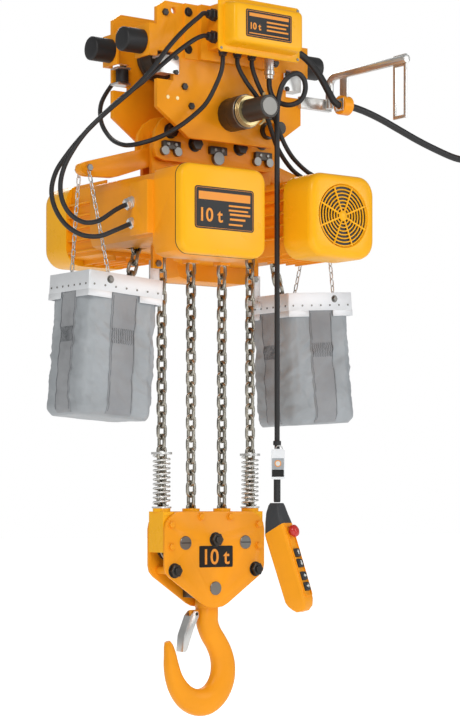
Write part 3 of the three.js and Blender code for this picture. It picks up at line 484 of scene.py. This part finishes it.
def chain_path():
    points = []

    def straight(a, b):
        a, b = Vector(a), Vector(b)
        count = max(2, int((b - a).length / 2))
        points.extend(a.lerp(b, k / count) for k in range(count))

    def arc(cx, cz, r, start, end):
        count = 90
        for k in range(count):
            a = start + (end - start) * k / count
            points.append(Vector((cx + r * math.cos(a), 0, cz + r * math.sin(a))))

    straight((-59.4, 0, -579), (-59.4, 0, -1436))
    arc(-114.7, -1436, 55.3, 0, -math.pi)
    straight((-170, 0, -1436), (-170, 0, -445))
    arc(-214.8, -445, 44.8, 0, math.pi)
    points.extend(smooth_path([(-259.6, 0, -445), (-260, 0, -500), (-270, 0, -575),
                               (-290, 0, -645), (-306, 0, -720), (-308, 0, -785)], 30))
    return points


def load_chains():
    path = chain_path()
    spots, travelled, want = [], 0.0, 12.0
    for a, b in zip(path, path[1:]):
        step = (b - a).length
        while travelled + step >= want:
            spots.append((a.lerp(b, (want - travelled) / step), (b - a).normalized()))
            want += LINK_PITCH
        travelled += step
    for side in ("left", "right"):
        upper, lower = Solid(), Solid()
        for k, (centre, along) in enumerate(spots):
            flat = Vector((0, 1, 0)) if k % 2 else along.cross(Vector((0, 1, 0)))
            rides_block = centre.z < SPLIT_Z
            (lower if rides_block else upper).rings(link_rings(centre, along, flat), True)
        turned = side == "right"
        upper.piece(f"chain_links_{side}_upper", MAT["chain"], "trolley", "chain",
                    [f"load_chain_{side}"], smooth=70, half_turn=turned)
        lower.piece(f"chain_links_{side}_lower", MAT["chain"], "load_block", "chain",
                    smooth=70, half_turn=turned)


# ---------------------------------------------------------------- chain bags
BAG = {"x": -393.0, "y": -33.0, "half_x": 131.5, "half_y": 109.0, "top": -645.0,
       "bottom": -1067.0}
TILT = Matrix.Rotation(math.radians(4), 3, "Y")


def tilted(p):
    pivot = Vector((BAG["x"], BAG["y"], BAG["top"]))
    return TILT @ (Vector(p) - pivot) + pivot


BAG_CORNER = 34.0
BAG_X, BAG_Y = BAG["half_x"] - 4.5, BAG["half_y"] - 4.5
BAG_QUARTER = BAG_X + BAG_Y - BAG_CORNER * (2 - math.pi / 2)


def bag_outline(u):
    """Place and outward direction on a rounded rectangle. u = 0 is the middle of its +X side,
    and each quarter of u runs to the middle of the next side."""
    quarter, t = divmod((u % 1.0) * 4, 1)
    hx, hy = (BAG_X, BAG_Y) if quarter % 2 == 0 else (BAG_Y, BAG_X)
    run, r = t * BAG_QUARTER, BAG_CORNER
    if run < hy - r:
        place, out = Vector((hx, run)), Vector((1, 0))
    elif run < hy - r + r * math.pi / 2:
        a = (run - hy + r) / r
        out = Vector((math.cos(a), math.sin(a)))
        place = Vector((hx - r, hy - r)) + out * r
    else:
        run -= hy - r + r * math.pi / 2
        place, out = Vector((hx - r - run, hy)), Vector((0, 1))
    turn = Matrix.Rotation(quarter * math.pi / 2, 2)
    return turn @ place, turn @ out


def bag_point(u, v, grow=0.0):
    """A point of the bag's cloth. u runs once round it, v from its top, 0, to its bottom, 1."""
    place, out = bag_outline(u)
    top, bottom = BAG["top"] - 48, BAG["bottom"] + 4
    z = top + (bottom - top) * v
    spot = Vector((place.x, place.y, z)) * 0.011
    slanted = Vector((spot.x * 1.6 + spot.z * 0.9, spot.y * 1.6 - spot.z * 0.7, spot.z * 1.5))
    crease = abs(noise.noise(slanted)) * 13 + abs(noise.noise(slanted * 2.4)) * 6
    fold = noise.noise(spot * 0.7) * 7
    a = 2 * math.pi * u
    pleat = math.sin(a * 18 + 3 * noise.noise(spot)) * 2.0 * (1 - v) ** 2
    seam = 4.5 * math.exp(-((abs((u * 4) % 1 - 0.5)) / 0.035) ** 2) * math.sin(math.pi * v)
    push = (-2 + 6.5 * v + (fold - crease + 3) * min(1, 3 * v) * 0.75 + pleat * min(1, 8 * v)
            - seam + grow)
    low = max(0.0, (v - 0.92) / 0.08)
    push -= 16 * low ** 2.2
    flat = place + out * push
    return tilted((BAG["x"] + flat.x, BAG["y"] + flat.y, z + 0.4 * fold * low))


def chain_bags():
    around, down = 144, 60
    for side in ("left", "right"):
        turned = side == "right"
        cloth = Solid()
        outer = [[bag_point(k / around, j / down) for k in range(around)] for j in range(down + 1)]
        inner = [[bag_point(k / around, j / down, -3.5) + Vector((0, 0, 3 if j == down else 0))
                  for k in range(around)] for j in range(down, -1, -1)]
        rows = [[cloth.build.verts.new(p * MM) for p in ring] for ring in outer + inner]
        for low, high in zip(rows, rows[1:] + rows[:1]):
            if low is rows[down]:
                cloth.build.faces.new(low)
                cloth.build.faces.new(high[::-1])
                continue
            for k in range(around):
                n = (k + 1) % around
                cloth.build.faces.new([low[k], low[n], high[n], high[k]])
        cloth.piece(f"bag_cloth_{side}", MAT["bag_fabric"], "trolley", "bag_fabric",
                    [f"chain_bag_{side}"], smooth=180, half_turn=turned)
        straps, seams = Solid(), Solid()
        for middle, half in ((0.25, 44), (0.75, 44), (0.5, 36), (0.0, 36)):
            strap(straps, seams, middle, half)
        straps.piece(f"bag_straps_{side}", EXTRA["webbing"], "trolley", "bag_fabric",
                     smooth=60, half_turn=turned)
        seams.piece(f"bag_stitching_{side}", EXTRA["stitch"], "trolley", "bag_fabric",
                    smooth=60, half_turn=turned)
        bag_rim(side, turned)


def face_u(middle, offset):
    """u of a point that lies offset, in millimetres, from the middle of a bag's side."""
    return middle + offset / BAG_QUARTER / 4


def strap(straps, seams, middle, half):
    """Wide webbing down one face of the bag, with a sewn box near its top."""
    columns = [-half + 2 * half * k / 8 for k in range(9)]
    levels = [0.02 + 0.965 * k / 40 for k in range(41)]
    outer = [[bag_point(face_u(middle, c), v, 2.6) for c in columns] for v in levels]
    inner = [[bag_point(face_u(middle, c), v, 0.2) for c in columns] for v in levels]
    straps.rings([o + i[::-1] for o, i in zip(outer, inner)])
    for k in range(12):
        c = -0.85 + 1.7 * k / 11
        route = [bag_point(face_u(middle, half * (c + 0.03 * (-1) ** n)), 0.3 + 0.12 * n / 9, 3.1)
                 for n in range(10)]
        seams.tube(route, 0.8, 5)
    for edge in (-0.9, 0.9):
        route = [bag_point(face_u(middle, half * edge), v, 3.0) for v in levels[1:-1]]
        seams.tube(route, 0.7, 5)


def rim_tab(corners, top):
    return [[tilted((x, y, z)) for x, y in corners] for z in (top - 75, top - 55.5)]


RIM_RIVETS = 7  # on each face of the rim
RIM_SHEET = 3


def bag_rim(side, turned):
    hx, hy, top = BAG["half_x"], BAG["half_y"], BAG["top"]
    outer = rounded(BAG["x"] - hx, BAG["x"] + hx, BAG["y"] - hy, BAG["y"] + hy, 5, 3)
    ix, iy = hx - RIM_SHEET, hy - RIM_SHEET
    inner = rounded(BAG["x"] - ix, BAG["x"] + ix, BAG["y"] - iy, BAG["y"] + iy, 3, 3)
    build = Solid()
    rows = [[tilted((x, y, z)) for x, y in line]
            for line, z in ((outer, top), (outer, top - 56), (inner, top - 56), (inner, top))]
    build.rings(rows, True)
    for way in (-1, 1):
        for y in (BAG["y"] - hy, BAG["y"] + hy - 3):
            low, high = sorted((BAG["x"] + way * 50, BAG["x"] + way * (hx - 0.2)))
            build.rings(rim_tab([(low, y), (high, y), (high, y + 3), (low, y + 3)], top))
        for x in (BAG["x"] - hx, BAG["x"] + hx - 3):
            low, high = sorted((BAG["y"] + way * 42, BAG["y"] + way * (hy - 0.2)))
            build.rings(rim_tab([(x, low), (x + 3, low), (x + 3, high), (x, high)], top))
    build.box((-274, -87.5, -688), (-240, -81.5, -588)).box((-274, -87.5, -692), (-258, -62, -672))
    build.piece(f"bag_rim_{side}", MAT["white_aluminium"], "trolley", "white_aluminium",
                [f"bag_frame_{side}"], bevel=0.5, half_turn=turned)
    rivets, chains = Solid(), Solid()
    for k in range(RIM_RIVETS):
        share = (k + 0.5) / RIM_RIVETS
        x = BAG["x"] - hx + 2 * hx * share
        for y, way in ((BAG["y"] - hy, -1), (BAG["y"] + hy, 1)):
            rivets.disc(tilted((x, y, top - 40)), 3.2, 1.6, (0, way, 0), 10)
        y = BAG["y"] - hy + 2 * hy * share
        for x, way in ((BAG["x"] - hx, -1), (BAG["x"] + hx, 1)):
            rivets.disc(tilted((x, y, top - 40)), 3.2, 1.6, (way, 0, 0), 10)
    for way in (-1, 1):
        rivets.disc((-452, BAG["y"] + way * (hy - 8), top - 16), 9, 15, (0, way, 0), 6)
        rivets.disc((-452, BAG["y"] + way * (hy - 1), top - 16), 12, 2, (0, way, 0), 16)
        start = Vector((-452, way * 26, -328))
        end = Vector((-452, BAG["y"] + way * (hy - 5), top - 14))
        along = (end - start).normalized()
        count_links = int((end - start).length / 22)
        for j in range(count_links + 1):
            centre = start.lerp(end, (j + 0.2) / (count_links + 0.6))
            width = Vector((1, 0, 0)) if j % 2 else along.cross(Vector((1, 0, 0)))
            chains.rings(link_rings(centre, along, width, 2.1, 5.4, 6.6, 5, 6), True)
    rivets.disc((-254, -108, -598), 11, 6, (0, 1, 0), 6).disc((-254, -82, -598), 11, 6, (0, 1, 0), 6)
    rivets.disc((-452, -36, -321), 11, 4, (0, 1, 0), 6).disc((-452, 32, -321), 11, 4, (0, 1, 0), 6)
    rivets.piece(f"bag_rivets_{side}", EXTRA["pin_face"], "trolley", "zinc", half_turn=turned)
    chains.piece(f"bag_chains_{side}", MAT["zinc"], "trolley", "zinc", smooth=70, half_turn=turned)


# ---------------------------------------------------------------- hoist units
def hoist_details(side):
    turned = side == "right"
    x0, x1, z0, z1 = -370, -60, -598, -336
    cover = Solid()
    rows = []
    for y, inset in ((-352.3, 0.5), (-368, 1.2), (-374, 3.0), (-378, 6.5), (-379.9, 12)):
        outline = rounded(x0 + inset, x1 - inset, z0 + inset, z1 - inset, max(8, 40 - inset), 7)
        rows.append([(x, y, z) for x, z in outline])
    cover.rings(rows).piece(f"control_cover_shell_{side}", MAT["yellow_paint"], "trolley",
                            "yellow_paint", [f"control_cover_{side}"], smooth=50, half_turn=turned)
    bolts = Solid()
    for x in (x0 + 46, x1 - 46):
        for z in (z0 + 3, z1 - 17):
            bolts.disc((x, -366, z + 7), 8, 14, (0, 1, 0), 6)
    seam = rounded(x0 - 0.4, x1 + 0.4, z0 - 0.4, z1 + 0.4, 40.4, 7)
    bolts.rings([[(x, y, z) for x, z in seam] for y in (-353.4, -351.2)])
    bolts.piece(f"control_cover_bolts_{side}", EXTRA["bolt"], "trolley", "dark_steel",
                half_turn=turned)
    chrome = Solid()
    for end in ((-404, -150, -441), (-390, -150, -496)):
        axis = Vector((43, -7, 19)).normalized()
        p = Vector(end)
        chrome.disc(p - axis, 17.6, 11, axis, 6, 1.2).disc(p + axis * 10, 16.8, 5, axis, 24, 1.2)
        chrome.disc(p + axis * 15, 18.2, 14, axis, 24, 1.6).disc(p + axis * 29, 16.4, 5, axis, 24, 1)
        chrome.disc(p + axis * 34, 20.5, 9, axis, 6, 1.2)
    chrome.piece(f"power_connectors_{side}", MAT["zinc"], "trolley", "zinc", half_turn=turned)
    fan_cover_details(side, turned)


OPENING_R = 97


def fan_cover_details(side, turned):
    cx, cz, half = -214.8, -450, 126
    shell = Solid()
    rows = []
    for y, inset in ((272.3, 0), (382, 0), (393, 2.5), (400, 8), (403.5, 16)):
        outline = rounded(cx - half + inset, cx + half - inset, cz - half + inset,
                          cz + half - inset, 56 - inset * 0.6, 8)
        rows.append([(x, y, z) for x, z in with_straights(outline, 6)])
    count = len(rows[0])
    start = math.atan2(rows[-1][0][2] - cz, rows[-1][0][0] - cx)
    turns = [start + 2 * math.pi * k / count for k in range(count)]
    face = [(cx + OPENING_R * math.cos(a), 404.5, cz + OPENING_R * math.sin(a)) for a in turns]
    lip = [(cx + (x - cx) * 0.96, 398, cz + (z - cz) * 0.96) for x, _, z in face]
    shell.rings(rows + [face, lip])
    shell.piece(f"fan_cover_shell_{side}", MAT["yellow_paint"], "trolley", "yellow_paint",
                [f"fan_cover_{side}"], smooth=50, half_turn=turned)
    dark, grille = Solid(), Solid()
    # A black disc fills the opening behind the grille: painted shade standing in for the dark inside
    # of the fan cover.
    dark.disc((cx, 397.6, cz), 92, 1.2, (0, 1, 0), 48, 0.3)
    dark.piece(f"fan_opening_painted_shade_{side}", MAT["black_plastic"], "trolley", "black_plastic",
               half_turn=turned)
    for r in (24, 35, 46, 57, 68, 79, 90):
        ring = [(cx + r * math.cos(a), 401.5, cz + r * math.sin(a))
                for a in (2 * math.pi * k / 48 for k in range(48))]
        grille.tube(ring, 2.3, 6, True)
    for k in range(8):
        a = math.pi * k / 4 + math.pi / 8
        grille.tube([(cx + r * math.cos(a), 401.6, cz + r * math.sin(a)) for r in (14, 94)], 3, 6)
    grille.disc((cx, 399, cz), 16, 5, (0, 1, 0), 24)
    grille.piece(f"fan_grille_{side}", MAT["yellow_paint"], "trolley", "yellow_paint",
                 smooth=60, half_turn=turned)


# ---------------------------------------------------------------- labels
def label(name, body, x0, x1, z0, z1, y, marks, corner=7):
    Solid().plate(rounded(x0, x1, z0, z1, corner), y, y - 0.8).piece(
        name, EXTRA["print_black"], body, "black_plastic")
    edge = Solid()
    inset = 4
    outer = rounded(x0 + inset, x1 - inset, z0 + inset, z1 - inset, max(1, corner - 3))
    edge.tube([(x, y - 0.9, z) for x, z in outer], 0.7, 4, True)
    for a, b, c, d in marks:
        edge.plate([(a, c), (b, c), (b, d), (a, d)], y - 0.7, y - 1.3)
    edge.piece(name + "_marks", EXTRA["print_orange"], body, "yellow_paint")


def lettering(name, text, height, x, y, z, body, material):
    curve = bpy.data.curves.new(name, "FONT")
    curve.body = text
    curve.size = height * MM
    curve.extrude = 0.4 * MM
    curve.offset = 0.9 * MM
    holder = bpy.data.objects.new(name + "_text", curve)
    bpy.context.scene.collection.objects.link(holder)
    dg = bpy.context.evaluated_depsgraph_get()
    mesh = bpy.data.meshes.new_from_object(holder.evaluated_get(dg))
    bpy.data.objects.remove(holder)
    mesh.transform(Matrix.Translation(Vector((x, y, z)) * MM) @ Matrix.Rotation(math.pi / 2, 4, "X"))
    finish_piece(name, mesh, material, body)


def labels():
    label("hoist_label", "trolley", -322, -108, -524, -402, -380.0,
          [(-308, -122, -440, -417), (-200, -122, -455, -450), (-200, -130, -468, -463),
           (-196, -122, -480, -474), (-196, -140, -494, -488), (-200, -150, -509, -504)], 10)
    lettering("hoist_capacity", "10 t", 54, -310, -381.2, -502, "trolley", EXTRA["print_orange"])
    label("panel_label", "trolley", -62, 112, 76, 158, -282.4,
          [(-50, 100, 138, 148), (16, 98, 124, 129), (16, 90, 112, 117), (16, 98, 100, 105),
           (-50, 98, 86, 89)], 6)
    lettering("panel_capacity", "10 t", 27, -50, -283.6, 100, "trolley", EXTRA["print_orange"])
    Solid().plate(rounded(-62, 66, -1512, -1446, 4), -47, -47.9).piece(
        "block_label", EXTRA["print_black"], "load_block", "black_plastic")
    lettering("block_capacity", "10 t", 66, -54, -48.2, -1502, "load_block",
              EXTRA["print_orange"])


# ---------------------------------------------------------------- trolley and hanger frame
def trolley_details():
    dark, bright, gold = Solid(), Solid(), Solid()
    y = -125
    for x, z in ((-246, 150), (-150, -120), (150, -120), (-175, -64), (175, -64)):
        dark.disc((x, y - 8, z), 11, 9, (0, 1, 0), 6)
    for x in (-166, 166):
        for z in (48, 160):
            dark.disc((x, -142, z), 11, 9, (0, 1, 0), 6).disc((x, -135, z), 14, 2.4)
    for side in (-1, 1):
        for z in (-27, 17):
            dark.disc((side * 212, y - 15, z), 8, 8, (0, 1, 0), 6)
        for s in (-1, 1):
            dark.disc((side * 245, s * 104, 21), 9, 7, (0, 0, 1), 6)
    dark.disc((138, -200, -165), 19, 7).disc((138, -142, -165), 27, 16, (0, 1, 0), 28)
    for x in (-235, -200):
        gold.disc((x, y - 0.8, -101), 6, 1.2, (0, 1, 0), 20)
    z = -131
    dark.disc((0, -318.5, z), 33.5, 3, (0, 1, 0), 40, 1)
    bright.disc((0, -206, z), 52, 6, (0, 1, 0), 48, 1)
    for k in range(3):
        gold.disc((0, -213 - 5 * k, z), 49 - 2 * k, 3.2, (0, 1, 0), 48, 0.8)
    bright.disc((0, -320, z), 27, 2, (0, 1, 0), 40, 0.8)
    gold.tube([(0, -290, z + 44), (0, -290, z - 44)], 4, 8)
    gold.tube([(0, -290, z - 38), (-6, -288, z - 47), (-13, -286, z - 52)], 3, 8)
    for x, z0 in ((-175, -187), (-84, -218), (88, -213), (175, -187)):
        dark.disc((x, -73, z0), 20.4, 20, (0, 1, 0), 6, 1.5).disc((x, -55, z0), 23.5, 3, (0, 1, 0))
    for x in (-200, -152, 152, 200):
        bright.disc((x, -65, -249), 14.4, 13, (0, 1, 0), 32, 1)
    bright.disc((0, -67, -255), 20.5, 15, (0, 1, 0), 32, 1)
    plates = Solid()
    for x0, x1, z0 in ((144, 208, -243), (-208, -144, -243), (-32, 32, -243)):
        plates.plate(rounded(x0 - 0.6, x1 + 0.6, z0 - 0.6, z0 + 24.6, 3, 3), -64.6, -52.2)
        for x in (x0 + 18, x1 - 18):
            bright.disc((x, -68, z0 + 14), 6, 5, (0, 1, 0), 20)
    plates.piece("key_plates", MAT["dark_steel"], "trolley", "dark_steel", bevel=0.8)
    dark.piece("frame_bolts", EXTRA["bolt"], "trolley", "dark_steel")
    bright.piece("frame_pin_faces", EXTRA["pin_face"], "trolley", "zinc")
    gold.piece("frame_brass_bits", EXTRA["copper_zinc"], "trolley", "zinc")
    bumpers()


def bumpers():
    build = Solid()
    for sx in (-1, 1):
        for sy in (-1, 1):
            profile = [(26, 0), (36.2, 2), (36.3, 67), (35.6, 70.4), (31, 73), (18, 74)]
            build.turn(profile, (sx * 302.3, sy * 84, 62), (sx, 0, 0), 36)
    build.piece("bumper_rubbers", MAT["black_rubber"], "trolley", "black_rubber", smooth=50)
    zinc = Solid()
    for sx in (-1, 1):
        for sy in (-1, 1):
            low, high = sorted((sx * 199.5, sx * 268.5))
            wall = sorted((sy * 133.5, sy * 132.2))
            zinc.plate(rounded(low, high, -32.2, 22.2, 4, 3), *wall)
            edge = sorted((sy * 133.3, sy * 91.5))
            side = sorted((sx * 221.5, sx * 268.6))
            for z in (15.3, -31.9):
                zinc.box((side[0], edge[0], z), (side[1], edge[1], z + 6.7))
    zinc.piece("roller_brackets", MAT["zinc"], "trolley", "zinc", bevel=1.2)


def panel_details():
    lid = Solid()
    rows = []
    flange = [(-230.3, 0, 12), (-234.5, 0, 12), (-236.3, 3, 12)]
    dome = [(-236.6, 18, 14), (-260, 21, 14), (-276, 23.5, 14), (-280.5, 27, 14), (-282.2, 33, 14)]
    for y, inset, corner in flange + dome:
        outline = rounded(-128 + inset, 181 - inset, 33 + inset, 199 - inset, corner, 5)
        rows.append([(x, y, z) for x, z in outline])
    lid.rings(rows).piece("panel_lid", MAT["yellow_paint"], "trolley", "yellow_paint",
                          ["panel_cover"], smooth=40)
    screws, glands, bright = Solid(), Solid(), Solid()
    for x in (-119, 172):
        for z in (42, 190):
            screws.disc((x, -238.6, z), 4.5, 3, (0, 1, 0), 12)
    screws.piece("panel_screws", EXTRA["pin_face"], "trolley", "zinc")
    for z in (148, 82):
        glands.disc((-136, -190, z), 13, 14, (1, 0, 0), 24).disc((-123, -190, z), 19, 12, (1, 0, 0), 6)
        glands.disc((-112, -190, z), 19, 7, (1, 0, 0), 6)
    for x in (-79, -24, 31):
        glands.disc((x, -190, 29.8), 12, 12, (0, 0, 1), 24).disc((x, -190, 38), 16, 11, (0, 0, 1), 6)
    glands.disc((160, -190, 75), 20, 17, (1, 0, 0), 6).disc((176, -190, 75), 16, 14, (1, 0, 0), 24)
    glands.piece("cable_glands", MAT["black_plastic"], "trolley", "black_plastic")
    bright.disc((98, -190, -19.1), 13, 12, (0, 0, 1), 28).disc((98, -190, -7), 16, 14, (0, 0, 1), 28)
    bright.disc((98, -190, 7), 14, 40, (0, 0, 1), 28)
    for k in range(5):
        bright.disc((98, -190, 12 + 6 * k), 15.2, 3, (0, 0, 1), 28)
    bright.piece("pendant_connector", MAT["zinc"], "trolley", "zinc")
    ring = Solid().disc((350.9, -222, -74), 29.5, 36, (1, 0, 0), 30)
    ring.piece("cable_clamp", MAT["orange_paint"], "trolley", "orange_paint")


# ---------------------------------------------------------------- load block and hook
def block_details():
    guide, springs = Solid(), Solid()
    guide.box((-187.7, -37.2, -1352), (187.7, 37.2, -1340.6))
    for sx in (-1, 1):
        low, high = sorted((sx * 187.9, sx * 190.9))
        guide.box((low, -37.7, -1465), (high, 37.7, -1340))
        low, high = sorted((sx * 148, sx * 187.6))
        guide.box((low, -37, -1464), (high, -28, -1352.3)).box((low, 28, -1464), (high, 37, -1352.3))
        for x, top in ((sx * 170, -1328), (sx * 59.4, -1331)):
            guide.rings(ring_wall(x, 20.2, 27, -1341, top), True)
        springs.rings(ring_wall(sx * 170, 20, 32, -1166, -1159), True)
        springs.rings(ring_wall(sx * 170, 20, 30, -1330, -1325), True)
        turns, count = 10.5, 260
        coil = []
        for k in range(count + 1):
            t = k / count
            rise = 0.02 + 0.96 * t if 0.04 < t < 0.96 else t
            a = 2 * math.pi * turns * t
            coil.append((sx * 170 + 24.4 * math.cos(a), 24.4 * math.sin(a), -1321 + 152 * rise))
        springs.tube(coil, 3.3, 8)
    guide.piece("fall_guides", MAT["yellow_paint"], "load_block", "yellow_paint", ["fall_guide"],
                smooth=40)
    springs.piece("cushion_springs", MAT["zinc"], "load_block", "zinc", smooth=60)
    dark, grey, painted = Solid(), Solid(), Solid()
    for x, z in ((0, -1427), (-155, -1520), (155, -1520)):
        dark.disc((x, -64, z), 20.4, 17.5, (0, 1, 0), 6, 2).disc((x, -70, z), 11, 8, (0, 1, 0), 24)
        dark.disc((x, -49.5, z), 23, 2.6, (0, 1, 0), 32)
    for sx in (-1, 1):
        grey.disc((sx * 114.7, -51.5, -1436), 21, 5, (0, 1, 0), 36)
        dark.box((sx * 114.7 - 18, -52, -1437.6), (sx * 114.7 + 18, -51.3, -1434.4))
        for x, z in ((56, -1356), (167, -1447), (167, -1380)):
            painted.disc((sx * x, -56, z), 10, 9.5, (0, 1, 0), 6).disc((sx * x, -49, z), 12.5, 2.2)
    grey.disc((0, -50, -1577), 20.8, 3.4, (0, 1, 0), 36)
    dark.piece("block_nuts", EXTRA["bolt"], "load_block", "dark_steel")
    grey.piece("block_axle_faces", EXTRA["pin_face"], "load_block", "dark_steel")
    painted.piece("block_bolts", MAT["orange_paint"], "load_block", "orange_paint")


def ring_wall(x, inner, outer, low, high, sides=32):
    rows = []
    for r, z in ((inner, low), (outer, low), (outer, high), (inner, high)):
        rows.append([(x + r * math.cos(a), r * math.sin(a), z)
                     for a in (2 * math.pi * k / sides for k in range(sides))])
    return rows


HOOK_LINE = [  # centre line and half thickness of the forging: x, z, in-plane, across
    (0, -1622, 33, 33), (0, -1655, 33.5, 33.5), (2, -1685, 34, 30), (14, -1716, 34.5, 28),
    (36, -1748, 35.5, 27), (54, -1782, 38, 27), (63, -1822, 41, 27), (58, -1864, 43, 27),
    (36, -1902, 44, 27), (2, -1926, 44, 27), (-38, -1930, 42, 26.5), (-76, -1914, 38, 26),
    (-104, -1886, 33, 25), (-123, -1852, 28, 23), (-133, -1815, 24, 21), (-138, -1780, 19, 18),
    (-144, -1752, 14, 14), (-149, -1738, 8, 9)]


def hook_piece():
    line = smooth_path([(x, 0, z) for x, z, _, _ in HOOK_LINE], 4)
    sizes = smooth_path([(a, b, 0) for _, _, a, b in HOOK_LINE], 4)
    sides, rows = 28, []
    for k, p in enumerate(line):
        along = (line[min(k + 1, len(line) - 1)] - line[max(k - 1, 0)]).normalized()
        out = along.cross(Vector((0, 1, 0)))
        a_size, b_size = sizes[k].x, sizes[k].y
        row = []
        for j in range(sides):
            a = 2 * math.pi * j / sides
            c, s = math.cos(a), math.sin(a)
            inward = 1.0 + 0.08 * c
            row.append(p + out * (a_size * math.copysign(abs(c) ** 0.85, c))
                       + Vector((0, 1, 0)) * (b_size * inward * math.copysign(abs(s) ** 0.8, s)))
        rows.append(row)
    build = Solid().rings(rows)
    build.disc((0, 0, -1640), 36, 30, (0, 0, 1), 40, 3)
    build.disc((0, 0, -1612), 28, 92, (0, 0, 1), 32, 1).disc((0, 0, -1547), 35, 34, (0, 0, 1), 6, 2)
    build.box((-62, -6.5, -1674), (-30, 6.5, -1644))
    build.piece("hook_forging", MAT["orange_paint"], "hook", "orange_paint", ["hook"], smooth=60)
    pin = Solid().disc((-50, -20, -1656), 5, 40, (0, 1, 0), 20)
    pin.piece("latch_pin", EXTRA["bolt"], "hook", "dark_steel")
    latch = Solid()
    outline = [(-59, -1646), (-43, -1649), (-42, -1664), (-61, -1701), (-86, -1766), (-92, -1771),
               (-103, -1771), (-98, -1720), (-73, -1661)]
    latch.plate(outline, -17.6, -15.2).plate(outline, 15.2, 17.6)
    latch.plate([(-73, -1661), (-98, -1720), (-103, -1771), (-99.8, -1771), (-95.6, -1720.6),
                 (-70, -1662)], -17, 17)
    latch.piece("latch_sheet", MAT["zinc"], "latch", "zinc", ["hook_latch"], bevel=0.8)


# ---------------------------------------------------------------- pendant control
PENDANT = Matrix.Translation(Vector((72, -262, -1314))) @ Matrix.Rotation(
    math.radians(-70), 4, "Z")


def pendant_ring(x0, x1, z_front, z_back, half, corner):
    """A rounded ring across the grip, from its back (x0) to its front (x1)."""
    out = []
    for u, v in rounded(-half, half, 0, x1 - x0, corner, 4):
        share = v / (x1 - x0)
        out.append(PENDANT @ Vector((x0 + v, u, z_back + (z_front - z_back) * share)))
    return out


def pendant_details():
    rows_head = [(-18, 16, 0, 0, 16, 8), (-22, 19, -8, -8, 21, 9), (-25.5, 26, -34, -30, 28, 9),
                 (-27, 34, -52, -60, 30.5, 9), (-27.6, 38, -62, -98, 31, 9)]
    head = Solid().rings([pendant_ring(*r) for r in rows_head])
    head.piece("pendant_head", EXTRA["dark_grey"], "pendant", "black_plastic", smooth=40)
    rows_grip = [(-27.8, 38, -60, -96, 31.2, 9), (-24, 42, -73, -110, 31.5, 9),
                 (44, 106, -264, -300, 31, 9), (54, 112, -286, -312, 30, 9),
                 (67, 113, -306, -322, 27, 10), (78, 104, -321, -328, 20, 8)]
    grip = Solid().rings([pendant_ring(*r) for r in rows_grip])
    grip.piece("pendant_grip", MAT["pendant_yellow"], "pendant", "pendant_yellow",
               ["pendant_housing"], smooth=40)
    origin, low = Vector((36, 0, -58)), Vector((118, 0, -300))
    along = (low - origin).normalized()
    out = Vector((-along.z, 0, along.x))

    def on_face(distance, u, rise):
        return PENDANT @ (origin + along * distance + out * rise + Vector((0, u, 0)))

    frame_ring = Solid()
    outline = rounded(-21, 21, 12, 232, 8, 4)
    inner = rounded(-17.5, 17.5, 15.5, 228.5, 6, 4)
    frame_ring.rings([[on_face(v, u, r) for u, v in line]
                      for line, r in ((outline, -3), (outline, 3.5), (inner, 3.5), (inner, -3))],
                     True)
    frame_ring.piece("pendant_face_rim", MAT["pendant_yellow"], "pendant", "pendant_yellow",
                     smooth=40)
    for k, distance in enumerate((97, 130, 170, 203), 1):
        cap, mark = Solid(), Solid()
        rows = []
        for rise, inset in ((-8, 0), (5, 0), (7.5, 1.2), (8.6, 3.4)):
            line = rounded(-14 + inset, 14 - inset, -13 + inset, 13 - inset, 4, 3)
            rows.append([on_face(distance + v, u, rise) for u, v in line])
        cap.rings(rows).piece(f"button_cap_{k}", MAT["black_plastic"], f"button_{k}",
                              "black_plastic", [f"pendant_button_{k}"])
        arrow = [(-6, -1), (0, -8), (6, -1), (2.4, -1), (2.4, 7), (-2.4, 7), (-2.4, -1)]
        turn = 1 if k % 2 else -1
        if k > 2:
            arrow = [(v * turn, u) for u, v in arrow]
        else:
            arrow = [(u, v * turn) for u, v in arrow]
        mark.rings([[on_face(distance + v, u, r) for u, v in arrow] for r in (8.3, 9.3)])
        mark.piece(f"button_mark_{k}", EXTRA["print_pale"], f"button_{k}", "white_aluminium")
    stop = Solid()
    axis = (on_face(32, 0, 1) - on_face(32, 0, 0)).normalized()
    stop.turn([(9, -8), (9, 6), (17, 9), (19, 12), (19, 17), (17, 22), (11, 26), (4, 27.4)],
              on_face(32, 0, 0), axis, 32)
    stop.piece("stop_button_cap", MAT["red_plastic"], "stop_button", "red_plastic",
               ["pendant_stop_button"], smooth=60)
    sleeve = Solid()
    sleeve.turn([(9, 0), (10.4, 4), (10.4, 92), (9, 96)], (72, -262, -1312), (0, 0, 1), 20)
    sleeve.disc((72, -262, -1140), 12, 14, (0, 0, 1), 20)
    sleeve.piece("pendant_cable_sleeve", MAT["black_rubber"], "trolley", "black_rubber")
    ring = Solid().tube([(72 + 11 * math.cos(a), -272 - 2 * math.cos(a), -1150 + 9 * math.sin(a))
                         for a in (2 * math.pi * k / 20 for k in range(20))], 1.6, 6, True)
    ring.piece("tag_ring", MAT["zinc"], "trolley", "zinc")


# ---------------------------------------------------------------- build everything
place_camera()
place_lights()
place_floor()
cables()
load_chains()
chain_bags()
for side_name in ("left", "right"):
    hoist_details(side_name)
labels()
trolley_details()
panel_details()
block_details()
hook_piece()
pendant_details()

KEPT_AS_CAD = {f"{n}_{s}" for n in ("fan_rotor", "load_sheave", "idle_sheave")
               for s in ("left", "right")}
WIDE = {"side_plate_front": 1.2, "side_plate_rear": 1.2, "tow_arm": 1.0}
for node_name, node in frame["nodes"].items():
    if node.hide_render:
        continue
    if node_name in KEPT_AS_CAD:
        node.data.materials.clear()
        node.data.materials.append(MAT[SLOT_OF[node_name]])
        continue
    soften(node_name, WIDE.get(node_name, 1.4))
